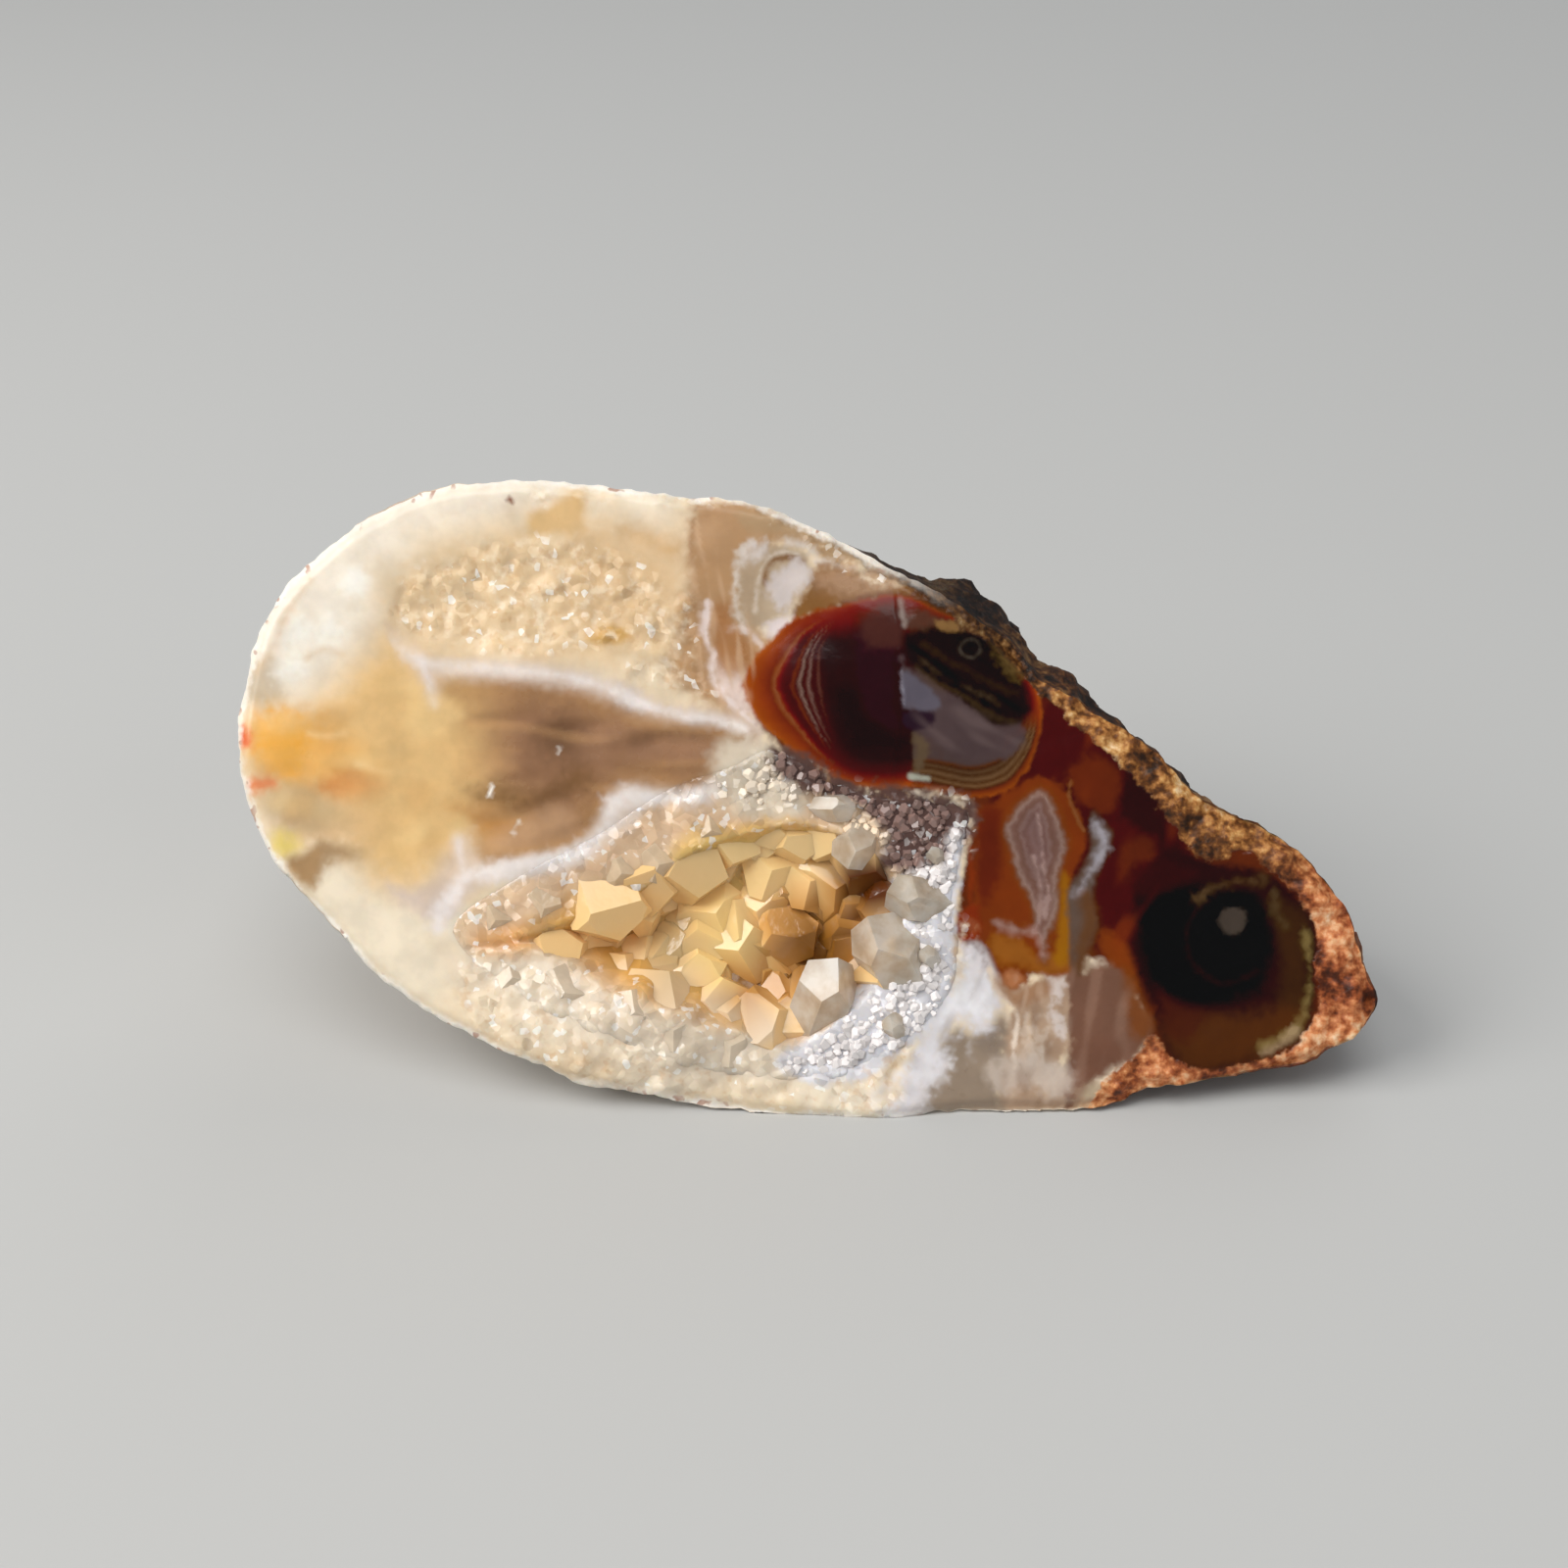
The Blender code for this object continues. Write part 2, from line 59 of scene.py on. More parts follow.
FACE_FOOT = Vector((26.194, -0.308, -0.1))  # foot of the face's middle, from the box's low corner
FACE_SPACING = 0.16                 # between mesh points on the broken face
FINE_SPACING = 0.095                # between those where the thin bands lie
BED_SPACING = 0.5                   # between those under the crust, where nothing shows
FACE_OVERLAP = 0.9                  # how far the close points run on under the crust
BED_FROM = 1.1                      # from the crust's edge to the first of the wide ones
BACK_CROWN = 0.06                   # share of its depth that the middle of the back bulges
RIM_SPACING = 0.22                  # between those along the rim and round the outside
BACK_SPACING = 0.35                 # between those on the middle of the back
SKIN_RINGS = 54                     # rings of points from the rim to the middle of the back
LAST_RING_ANGLE = math.radians(72.0)  # of the last ring: the rim is at 0, the back at 90
KNOBS_FROM = math.radians(10.0)     # where the skin's knobs reach their full height
BODY_DEPTH_LEFT = 15.5              # broken face to back, at the wide left lobe
BODY_DEPTH_RIGHT = 11.0             # the same at the narrow right lobe
FULLNESS = 0.68                     # of the body's section: 1 is an ellipse, less is squarer
OVERHANG_ANGLE = math.radians(30.0)  # how far past its widest it is broken, upper right
LOWER_OVERHANG = 0.35               # share of that angle along the foot
RIGHT_LIFT = 0.45                   # rise of the right lobe for each millimetre back
LEFT_LIFT = 0.15                    # the same of the left lobe
FLOOR_HEIGHT = 0.1                  # of the flat it rests on, above the foot of the face
BED_DEPTH = 1.2                     # crust's bed, below the broken face
HOLLOW_DEPTH = 8.2                  # floor of the hollow, below the bed
HOLLOW_WALL = 4.4                   # over which the hollow's wall rounds into its floor
WALL_FULLNESS = 0.85                # of that wall: 1 is a sine, less is squarer
SHALLOW_LEFT = (0.35, -15.0, -6.5)  # share of the depth at the left, and x over which it grows
SHALLOW_FOOT = (0.72, 4.0, 9.0)     # the same at the foot, with y

RIM = [
    (-13.5, 29.1), (-10.2, 28.9), (-5.8, 28.4), (-2.6, 28.0), (0.9, 26.5), (3.6, 25.0), (6.3, 23.6),
    (8.6, 21.9), (10.4, 20.1), (12.6, 18.7), (15.6, 16.7), (17.8, 14.5), (20.6, 13.2), (22.6, 11.6),
    (24.2, 9.6), (25.0, 7.0), (25.6, 5.2), (24.6, 4.0), (22.4, 2.6), (18.6, 1.9), (15.4, 1.5),
    (12.5, 0.5), (7.6, 0.5), (3.1, 0.1), (-1.3, 0.2), (-5.8, 0.9), (-10.2, 1.7), (-13.2, 2.9),
    (-16.9, 4.6), (-19.5, 6.4), (-21.9, 8.9), (-24.1, 11.3), (-25.5, 13.9), (-26.1, 16.9),
    (-25.6, 20.5), (-24.6, 23.3), (-22.4, 25.7), (-20.0, 27.5), (-17.2, 28.7),
]
SPINE = [(-15.5, 15.5), (-7.0, 13.2), (4.0, 10.8), (16.0, 7.8), (18.5, 7.2)]
CRUST_BED = [
    (-16.4, 8.6), (-13.4, 11.1), (-9.7, 13.1), (-6.6, 15.1), (-3.8, 16.1), (-1.8, 16.9), (0.7, 15.6),
    (3.2, 14.7), (5.6, 14.6), (7.0, 14.0), (6.8, 12.0), (6.3, 9.6), (6.6, 7.2), (5.6, 4.8), (3.4, 3.1),
    (0.8, 2.0), (-4.2, 2.2), (-8.7, 3.7), (-12.9, 5.6),
]
HOLLOW = [
    (-15.3, 8.5), (-13.0, 9.9), (-9.6, 11.9), (-6.4, 14.0), (-2.4, 14.9), (1.4, 13.3), (3.9, 10.2),
    (3.4, 7.2), (1.4, 4.9), (-0.8, 3.0), (-4.4, 3.2), (-8.6, 4.8), (-12.6, 6.7),
]
OPENING = [
    (-15.8, 8), (-12.5, 8.6), (-9.6, 9.7), (-7.5, 10.7), (-5.5, 12.2), (-3.2, 13), (-0.8, 13.5), (1.2, 13),
    (3.2, 11.8), (4.2, 10.2), (3.9, 8.4), (3, 6.4), (1.2, 4.6), (-0.8, 3.4), (-2.4, 3.6), (-3.7, 4.2),
    (-5.2, 4.5), (-5.5, 5), (-7.3, 5.4), (-7.6, 6.15), (-8.9, 5.8), (-9.3, 5.9), (-10.6, 7), (-12.8, 7.8),
    (-14.8, 7.7),
]
POCKET = [
    (-19.0, 22.4), (-18.6, 24.6), (-15.5, 26.2), (-11.5, 26.6), (-7.6, 25.6), (-6.2, 23.6),
    (-6.6, 21.4), (-10.5, 21.2), (-14.5, 21.2),
]
DARK_EYE = [
    (14.6, 10.5), (16.5, 12.0), (19.5, 11.6), (21.8, 9.8), (22.8, 7.0), (22.4, 4.2), (19.5, 2.8),
    (16.6, 2.9), (15.2, 5.6), (14.2, 8.0),
]
EYE_RIM = [
    (-3.1, 19.6), (-2.9, 20.6), (-2.3, 21.4), (-1.6, 22.1), (-0.8, 22.7), (0.2, 23.1), (1.2, 23.3),
    (2.3, 23.6), (3.6, 23.8), (4.6, 23.6), (5.6, 23.1), (7.4, 22.4), (9.2, 21.2), (10.1, 19.8), (10.4, 18.4),
    (10.2, 17.2), (9.7, 16), (8.9, 15.1), (7.5, 14.7), (6, 14.9), (4.6, 15.2), (3, 15.1), (1.6, 15.3),
    (0.5, 15.8), (-0.8, 16.7), (-1.9, 17.6), (-2.7, 18.5),
]
EYE_HEART = [
    (0.8, 19.5), (0.65, 20.5), (0.6, 21.4), (1, 22.2), (1.8, 22.8), (3, 23.2), (4.1, 23.3), (5.3, 22.8),
    (6.8, 22.3), (8.3, 21.4), (9.1, 20.3), (9.5, 18.9), (9.3, 17.6), (8.5, 16.6), (7.3, 16.2), (6, 16.4),
    (5, 16.5), (3.6, 16.4), (2.2, 16.5), (1.4, 17.2), (1, 18.3),
]
SECOND_HEART = [
    (8.6, 13.2), (9, 14.2), (9.6, 14.8), (10.1, 15.15), (10.7, 15), (11.1, 14.3), (11.45, 13.3),
    (11.6, 12.3), (11.3, 11), (11.15, 9.6), (10.9, 8.4), (10.6, 7.2), (10.3, 7.3), (10, 8.2), (9.2, 8.4),
    (8.3, 8.9), (8.4, 9.1), (9.6, 8.9), (9.9, 9.1), (9.9, 9.8), (9.5, 10.6), (9.1, 11.6), (8.8, 12.4),
]
SUGARY_PLACES = [
    POCKET,
    [(-6.9, 21.5), (-6, 24.2), (-4.9, 23), (-5.2, 20.6), (-4.4, 19.2), (-7.6, 19.4), (-9.2, 20.6)],
    [(-16.2, 5), (-15.8, 7.4), (-12.5, 7.8), (-9.2, 6.2), (-3.4, 4.2), (1.4, 3.4), (4.6, 5.2), (6.4, 9),
     (7.2, 9.4), (7.4, 7.6), (5.2, 4), (3.4, 0.2), (-5.8, 0.7), (-10.2, 1.5), (-13.4, 2.9)],
    [(-2.8, 17.2), (0.2, 15.9), (3.2, 15.2), (6.2, 15.1), (7.6, 14.5), (7.3, 12.2), (6.2, 12.4), (6, 13.8),
     (3, 14.2), (0.4, 15), (-2.4, 16.2)],
    [(-12.9, 28.4), (-8, 28.7), (-2.6, 28.3), (2.6, 25.4), (3.8, 24.4), (2, 23.9), (-1.6, 27.2), (-5.2, 28),
     (-9.4, 28.1)],
]
THIN_BANDS = [
    (-4.9, 24.5), (-3.6, 26.6), (0.4, 26), (3.4, 24.6), (6.4, 23.2), (9, 21.6), (10.6, 19.6), (10.8, 17),
    (12.2, 15.6), (13.8, 13.8), (13.8, 11.4), (13.2, 8.4), (12, 5.6), (11.8, 3.2), (8.6, 3), (7.6, 5.4),
    (6.2, 8.4), (6.8, 12.6), (5, 14.6), (1.4, 15), (-2.4, 17.2), (-5, 19.4),
]
MATRIX_PLACE = [
    (5.4, 24.6), (8.6, 22.9), (11.4, 20.6), (14.4, 17.9), (16.2, 17.6), (18.6, 16), (21.2, 14.6),
    (23.6, 12.8), (25.4, 10.4), (26.8, 7), (26.6, 4), (24.4, 2), (20.5, 1), (16.5, 0.8), (12.8, 0.2),
    (13.2, 1.7), (14.1, 2.4), (14.7, 3), (15.3, 4.1), (15.8, 3.5), (16.4, 2.6), (18, 2.2), (19.6, 2.5),
    (20.8, 2.8), (22, 3.5), (22.9, 4.6), (23, 6.6), (23.1, 8), (22.8, 9.2), (21.9, 10.2), (20.8, 11.4),
    (19.8, 12.2), (18.6, 11.9), (17.7, 11.9), (17, 12.5), (16.2, 13.8), (14.4, 15.7), (12.6, 17.4),
    (10.6, 19.3), (8.4, 21.3), (6.2, 22.9),
]
POCKET_DEPTH = 0.4
POCKET_EDGE = (-0.6, 2.2)           # distance inside its outline over which it deepens
DARK_EYE_DEPTH = 0.5
DARK_EYE_DISH = 3.2                 # the same, from its outline
BIG_EYE_CENTRE = (3.6, 20.2)
BIG_EYE_RADIUS = 6.2
BIG_EYE_RISE = 0.7
BIG_EYE_DOME = (0.3, 1.1)           # shares of the radius between which the rise falls away
EYE_STEP_X = 4.2                    # of a small step down the eye, and the width of its edge
EYE_STEP_EDGE = (-0.2, 0.15)
EYE_STEP_DROP = 0.03
EYE_STEP_SLANT = 0.12
EYE_STEP_END = 0.7                  # share of the radius where it begins to fade
LIP_CENTRE = (-9.5, 4.2)
LIP_HALF_SIZE = (7.5, 3.0)
LIP_RISE = 0.9
LIP_SLOPE = (0.2, 1.2)              # shares of the half size between which it falls away
RIM_ROUNDING = (0.6, 0.3)
SUGAR_EDGE = (-0.2, 0.7)
MATRIX_EDGE = (-0.1, 0.5)
GRAIN_LEVEL = 0.45                  # share of coarse grains' height below the surface
POINT_SHIFT = 0.45                  # of a small crystal from its grid, over the grid's size
POINT_LEAN = 0.45                   # spread of the slope of its tip
POINT_LOWEST = 0.3                  # height of the lowest tip over the highest
POINT_STEEPNESS = 1.15
POINT_BASE = 0.2                    # height of the bed between the tips
QUARTZ_IOR = 1.54
PATCH_STEP = 0.3                    # between the points of a patch's outline
LINE_STEP = 0.2                     # between those of a line

# Bumps: size across, then height, in millimetres
FACE_SWELL = (7.0, 0.4)
FACE_RIPPLE = (2.4, 0.12)
FACE_SHELLS = (4.6, 0.1)
POCKET_GRAIN = 1.9
SUGAR_LUMP = (1.3, 0.24)
SUGAR_GRAIN = (0.8, 0.15)
FINE_SUGAR = (0.45, 0.06)
SUGAR_WANDER = (1.3, 0.5)           # of the edge of a sugary place
MATRIX_GRAIN = (1.8, 0.7)
MATRIX_CRUMB = (0.6, 0.4)
SKIN_SWELL = (8.0, 0.7)
SKIN_RIPPLE = (2.8, 0.3)
SKIN_LUMP = (4.2, 1.3)
SKIN_GRAIN = (2.3, 0.9)
SKIN_CRUMB = (0.9, 0.3)
SKIN_PIT = (0.45, 0.12)
RIM_CHIP = (1.6, 0.16)
RIM_NIBBLE = (0.5, 0.1)


def smooth_line(points, spacing, closed=True):
    """Return points at an even spacing along the smooth curve through the given ones."""
    steps = np.linspace(0.0, 1.0, 24, endpoint=False)[:, None]
    given = np.array(points, dtype=float)
    count = len(given)
    arcs = []
    for i in range(count if closed else count - 1):
        places = [(i + k) % count if closed else min(max(i + k, 0), count - 1) for k in (-1, 0, 1, 2)]
        a, b, c, d = given[places]
        arcs.append(b + 0.5 * steps * (c - a + steps * (2 * a - 5 * b + 4 * c - d)
                                       + steps ** 2 * (3 * b - a - 3 * c + d)))
    fine = np.vstack(arcs + [given[:1] if closed else given[-1:]])
    length = np.concatenate([[0.0], np.cumsum(np.linalg.norm(np.diff(fine, axis=0), axis=1))])
    number = max(3, int(round(length[-1] / spacing)))
    at = np.arange(number) * length[-1] / number if closed else np.linspace(0.0, length[-1], number)
    return np.stack([np.interp(at, length, fine[:, 0]), np.interp(at, length, fine[:, 1])], axis=1)


def gap_to_line(points, line, closed):
    """Return each point's distance to the line, and whether it lies inside it if the line is closed."""
    line = np.asarray(line, np.float32)
    x, y = (line if closed else line[:-1]).T
    run, rise = (np.roll(line, -1, 0) - line if closed else line[1:] - line[:-1]).T
    square = np.maximum(run * run + rise * rise, 1e-12)
    steep = np.where(np.abs(rise) < 1e-9, 1e-9, rise)
    gaps, insides = [], []
    for part in np.array_split(np.asarray(points, np.float32), max(1, len(points) // 800)):
        from_x = part[:, :1] - x
        from_y = part[:, 1:] - y
        along = np.clip((from_x * run + from_y * rise) / square, 0.0, 1.0)
        gaps.append(np.sqrt(((from_x - along * run) ** 2 + (from_y - along * rise) ** 2).min(1)))
        crosses = (from_y < 0.0) != (from_y < rise)
        insides.append((crosses & (from_x < from_y * (run / steep))).sum(1) % 2 == 1)
    return np.concatenate(gaps).astype(float), np.concatenate(insides)


def distance_inside(points, loop):
    """Return each point's distance to the closed loop, positive inside and negative outside."""
    gap, inside = gap_to_line(points, loop, True)
    return np.where(inside, gap, -gap)


def inwards(loop):
    """Return the unit direction into the clockwise loop at each of its points."""
    run = np.roll(loop, -1, 0) - np.roll(loop, 1, 0)
    run /= np.linalg.norm(run, axis=1)[:, None]
    return np.stack([run[:, 1], -run[:, 0]], axis=1)


def ease(value, low, high):
    """Return 0 below low, 1 above high, and a smooth step between."""
    u = np.clip((value - low) / (high - low), 0.0, 1.0)
    return u * u * (3.0 - 2.0 * u)


def in_three(points, size):
    """Return the points in units of the given size, with a third coordinate if they have none."""
    deep = np.zeros((len(points), 3))
    deep[:, :points.shape[1]] = points / size
    return deep


def rough(points, size, layer):
    """Return smooth noise from -1 to 1 that changes over about the given size, from its own layer."""
    shift = Vector((layer, layer, layer))
    return np.array([noise.noise(Vector(p) + shift) for p in in_three(points, size)])


def bumps(points, size_and_height, layer):
    """Return smooth bumps of the given size and height, from their own layer of noise."""
    size, height = size_and_height
    return height * rough(points, size, layer)


def grains(points, size, layer=0.0):
    """Return rounded lumps of about the given size, 0 in their creases and 1 on top."""
    shift = Vector((layer, layer, layer))
    return np.array([1.0 - min(1.0, noise.voronoi(Vector(p) + shift)[0][0]) for p in in_three(points, size)])


def crystal_points(points, share, size_and_height, seed):
    """Return the height of a bed of small six-sided crystal points, where its share is above 0."""
    size, height = size_and_height
    rng = np.random.default_rng(seed)
    low, high = points.min(0) - size, points.max(0) + size
    rows = np.arange(low[1], high[1], size)
    centres = np.array([(x, y) for y in rows for x in np.arange(low[0], high[0], size)])
    centres += rng.uniform(-POINT_SHIFT, POINT_SHIFT, centres.shape) * size
    turn = rng.uniform(0.0, math.pi, len(centres))
    top = rng.uniform(POINT_LOWEST, 1.0, len(centres))
    tilt = rng.normal(0.0, POINT_LEAN, centres.shape)
    tree = kdtree.KDTree(len(centres))
    for i, centre in enumerate(centres):
        tree.insert((*centre, 0.0), i)
    tree.balance()
    wanted = np.flatnonzero(share > 0.01)
    relief = np.zeros(len(points))
    if not len(wanted):
        return relief
    near = np.array([[found[1] for found in tree.find_n((*points[i], 0.0), 4)] for i in wanted])
    offset = (points[wanted][:, None] - centres[near]) / size
    sides = turn[near][..., None] + np.arange(6) * math.pi / 3.0
    across = (offset[..., :1] * np.cos(sides) + offset[..., 1:] * np.sin(sides)).max(2)
    faces = top[near] - POINT_STEEPNESS * across + (offset * tilt[near]).sum(2)
    relief[wanted] = share[wanted] * height * (faces.max(1) - POINT_BASE)
    return relief


def matrix_share(points):
    """Return how far each point belongs to the coarse matrix of the right-hand rind, from 0 to 1."""
    x, y = points[:, 0], points[:, 1]
    return np.maximum(ease(x + 0.9 * (y - 12.0), 12.0, 16.0), ease(x, 11.5, 13.5))


def sugar_share(points):
    """Return how far each point of the face lies in a sugary place, from 0 to 1."""
    edge = np.max([distance_inside(points, place) for place in sugary], axis=0)
    return ease(edge + bumps(points, SUGAR_WANDER, 70.0), *SUGAR_EDGE)


def face_swells(points):
    """Return the broad forms of the broken face, which both the stone and its crust follow."""
    edge = distance_inside(points, rim)
    height = bumps(points, FACE_SWELL, 0.0) + bumps(points, FACE_RIPPLE, 5.0)
    height -= RIM_ROUNDING[1] * (1.0 - ease(edge, 0.0, RIM_ROUNDING[0]))

    eye = np.linalg.norm(points - BIG_EYE_CENTRE, axis=1)
    height += BIG_EYE_RISE * (1.0 - ease(eye, *(share * BIG_EYE_RADIUS for share in BIG_EYE_DOME)))
    step_line = points[:, 0] - EYE_STEP_SLANT * (points[:, 1] - 20.0) * np.sign(19.0 - points[:, 1])
    step = ease(step_line, EYE_STEP_X + EYE_STEP_EDGE[0], EYE_STEP_X + EYE_STEP_EDGE[1])
    height -= EYE_STEP_DROP * step * (1.0 - ease(eye, EYE_STEP_END * BIG_EYE_RADIUS, BIG_EYE_RADIUS))

    in_pocket = ease(distance_inside(points, pocket), *POCKET_EDGE)
    height -= POCKET_DEPTH * in_pocket * (1.0 - 0.5 * grains(points, POCKET_GRAIN))
    height -= DARK_EYE_DEPTH * ease(distance_inside(points, dark_eye), 0.0, DARK_EYE_DISH)

    lip = np.linalg.norm((points - LIP_CENTRE) / LIP_HALF_SIZE, axis=1)
    return height + LIP_RISE * (1.0 - ease(lip, *LIP_SLOPE))


def broken_face(points):
    """Return the height of the broken face with all its grain, before the hollow is sunk into it."""
    height = face_swells(points)
    sugar = sugar_share(points)
    rind = ease(distance_inside(points, matrix_place), *MATRIX_EDGE)
    height += FACE_SHELLS[1] * np.abs(rough(points, FACE_SHELLS[0], 12.0)) * (1.0 - sugar)
    height += sugar * SUGAR_LUMP[1] * (grains(points, SUGAR_LUMP[0], 30.0) - 0.5)
    height += crystal_points(points, sugar, SUGAR_GRAIN, 5)
    height += crystal_points(points, sugar, FINE_SUGAR, 6)
    height += rind * MATRIX_GRAIN[1] * (grains(points, MATRIX_GRAIN[0]) - GRAIN_LEVEL)
    return height + rind * MATRIX_CRUMB[1] * (grains(points, MATRIX_CRUMB[0], 4.0) - GRAIN_LEVEL)


def hollow_depth(points, outline, wall_width, depth):
    """Return how deep the hollow is at each point, shallower at its left end and its foot."""
    wall = np.clip(distance_inside(points, outline) / wall_width, 0.0, 1.0)
    left, foot = (share + (1.0 - share) * ease(points[:, axis], low, high)
                  for axis, (share, low, high) in enumerate((SHALLOW_LEFT, SHALLOW_FOOT)))
    return depth * left * foot * np.sin(0.5 * math.pi * wall) ** WALL_FULLNESS


def stone_surface(points):
    """Return the height of the stone with the crust's bed and the hollow sunk into it."""
    bed = ease(distance_inside(points, crust_bed), 0.15, 0.8)
    return broken_face(points) - BED_DEPTH * bed - hollow_depth(points, hollow, HOLLOW_WALL, HOLLOW_DEPTH)


def scattered(loop, spacing):
    """Return a slightly uneven triangular grid of points inside the loop."""
    low, high = loop.min(0), loop.max(0)
    rows = np.arange(low[1], high[1], spacing * 0.866)
    grid = np.array([(x + 0.5 * spacing * (row % 2), y) for row, y in enumerate(rows)
                     for x in np.arange(low[0], high[0], spacing)])
    shift = np.random.default_rng(3).uniform(-0.2, 0.2, grid.shape)
    grid += spacing * shift
    return grid[distance_inside(grid, loop) > 0.55 * spacing]


def triangulate(loop, loose):
    """Return points and triangles that fill the loop, whose points keep their order at the start."""
    points = np.vstack([loop, loose])
    edges = [(i, (i + 1) % len(loop)) for i in range(len(loop))]
    result = delaunay_2d_cdt([Vector(p) for p in points], edges, [], 1, 1e-6)
    place = {}
    for index, sources in enumerate(result[3]):
        for source in sources:
            place[source] = index
    order = [place[i] for i in range(len(loop))]
    first = set(order)
    order += [i for i in range(len(result[0])) if i not in first]
    new_index = {old: new for new, old in enumerate(order)}
    flat = np.array([result[0][i] for i in order])
    return flat, [[new_index[i] for i in face] for face in result[2]]


def spine_place(points):
    """Return the nearest place on the spine to each point, and how far along it lies, from 0 to 1."""
    line = np.array(SPINE)
    steps = np.linspace(0.0, len(line) - 1.0, 200)
    fine = np.stack([np.interp(steps, range(len(line)), line[:, k]) for k in (0, 1)], axis=1)
    nearest = np.linalg.norm(points[:, None] - fine[None], axis=2).argmin(1)
    return fine[nearest], nearest / (len(fine) - 1.0)


def skin_ring(edge, angle):
    """Return the ring of the nodule's outside at an angle from the rim, 0, to the back, a right angle."""
    foot, along = spine_place(edge)
    out = edge - foot
    upper = ease(edge[:, 1] + 0.3 * edge[:, 0], 8.0, 13.0)
    overhang = LOWER_OVERHANG + (1.0 - LOWER_OVERHANG) * upper
    start = -OVERHANG_ANGLE * overhang * ease(edge[:, 0], 0.0, 7.0)
    start *= 1.0 - 0.6 * ease(edge[:, 0], 11.0, 14.0)
    turn = start + (0.5 * math.pi - start) * angle / (0.5 * math.pi)
    scale = (np.cos(turn) / np.cos(start)) ** FULLNESS
    depth = (1.0 - along) * BODY_DEPTH_LEFT + along * BODY_DEPTH_RIGHT
    depth = depth * (np.sin(turn) - np.sin(start)) / (1.0 - np.sin(start))
    lift = RIGHT_LIFT * ease(edge[:, 0], 12.0, 17.0) + LEFT_LIFT * ease(-edge[:, 0], 8.0, 20.0)
    ring = np.hstack([foot + out * scale[:, None], -depth[:, None]])
    ring[:, 1] += lift * depth * (1.0 - 0.75 * ease(out[:, 1], -2.0, 4.0) * ease(edge[:, 0], 8.0, 14.0))
    return ring


def surface_normals(points, faces):
    """Return the unit normal of the surface at each of its points."""
    corners = np.array(faces)
    a, b, c = (points[corners[:, k]] for k in range(3))
    across = np.cross(b - a, c - a)
    normals = np.zeros_like(points)
    for k in range(3):
        np.add.at(normals, corners[:, k], across)
    return normals / np.maximum(np.linalg.norm(normals, axis=1), 1e-12)[:, None]


def skin_bumps(points, amount):
    """Return how far the knobbly skin stands out at each point."""
    matrix = matrix_share(points)
    bump = bumps(points, SKIN_SWELL, 3.0) + bumps(points, SKIN_RIPPLE, 9.0)
    bump += SKIN_LUMP[1] * (1.0 - 0.5 * matrix) * (grains(points, SKIN_LUMP[0]) - 0.6)
    bump += SKIN_GRAIN[1] * matrix * (grains(points, SKIN_GRAIN[0]) - 0.5)
    bump += SKIN_CRUMB[1] * (0.35 + 0.65 * matrix) * (grains(points, SKIN_CRUMB[0], 8.0) - 0.5)
    bump += SKIN_PIT[1] * rough(points, SKIN_PIT[0], 15.0)
    return amount * bump


def resting(points):
    """Return the points with every one below the floor raised straight up to it."""
    up = np.array([0.0, math.cos(FACE_LEAN), math.sin(FACE_LEAN)])
    sunk = np.maximum(FLOOR_HEIGHT - points @ up, 0.0)
    return points + sunk[:, None] * up


def new_object(name, data):
    """Return a new object of the scene with the given data."""
    made = bpy.data.objects.new(name, data)
    bpy.context.scene.collection.objects.link(made)
    return made


def new_piece(name, points, faces, materials):
    """Return a smooth-shaded object of the given points in face millimetres, placed in its mesh."""
    mesh = bpy.data.meshes.new(name)
    mesh.from_pydata([tuple(p) for p in points], [], [list(f) for f in faces])
    mesh.transform(face_to_row)
    for material in materials:
        mesh.materials.append(material)
    mesh.shade_smooth()
    return new_object(name, mesh)


def keep(mesh, name, values):
    """Store one number for each of the mesh's first points, and a low one for all others."""
    column = np.full(len(mesh.vertices), -3.0, np.float32)
    column[:len(values)] = values
    mesh.attributes.new(name, "FLOAT", "POINT").data.foreach_set("value", column)


def tint(red, green, blue):
    """Return the scene's linear colour of one given as it looks on a screen, from 0 to 255."""
    parts = [value / 255.0 for value in (red, green, blue)]
    return tuple(p / 12.92 if p <= 0.04045 else ((p + 0.055) / 1.055) ** 2.4 for p in parts) + (1.0,)


def new_material(name):
    """Return a material with only its Principled shader, and that shader."""
    material = bpy.data.materials.new(name)
    material.use_nodes = True
    return material, material.node_tree.nodes["Principled BSDF"]


def add(tree, kind, inputs=(), **settings):
    """Return a new node with its settings made, and its inputs set to numbers or linked to sockets."""
    made = tree.nodes.new(kind)
    for setting, value in settings.items():
        setattr(made, setting, value)
    for socket, value in dict(inputs).items():
        if isinstance(value, bpy.types.NodeSocket):
            tree.links.new(value, made.inputs[socket])
        else:
            made.inputs[socket].default_value = value
    return made


def sums(tree, operation, *values):
    """Return the result of one sum on numbers or sockets."""
    return add(tree, "ShaderNodeMath", enumerate(values), operation=operation).outputs[0]


def held(tree, name):
    """Return the socket of a number stored on the mesh."""
    return add(tree, "ShaderNodeAttribute", attribute_name=name).outputs["Fac"]


def stained(tree):
    """Return the socket of the colour that a stain has left on the mesh."""
    return add(tree, "ShaderNodeAttribute", attribute_name="stain").outputs["Color"]


def ramp(tree, value, low, high, to_low=0.0, to_high=1.0):
    """Return a smooth step of the value, from to_low at low to to_high at high."""
    inputs = {"Value": value, "From Min": low, "From Max": high, "To Min": to_low, "To Max": to_high}
    return add(tree, "ShaderNodeMapRange", inputs, interpolation_type="SMOOTHSTEP").outputs["Result"]


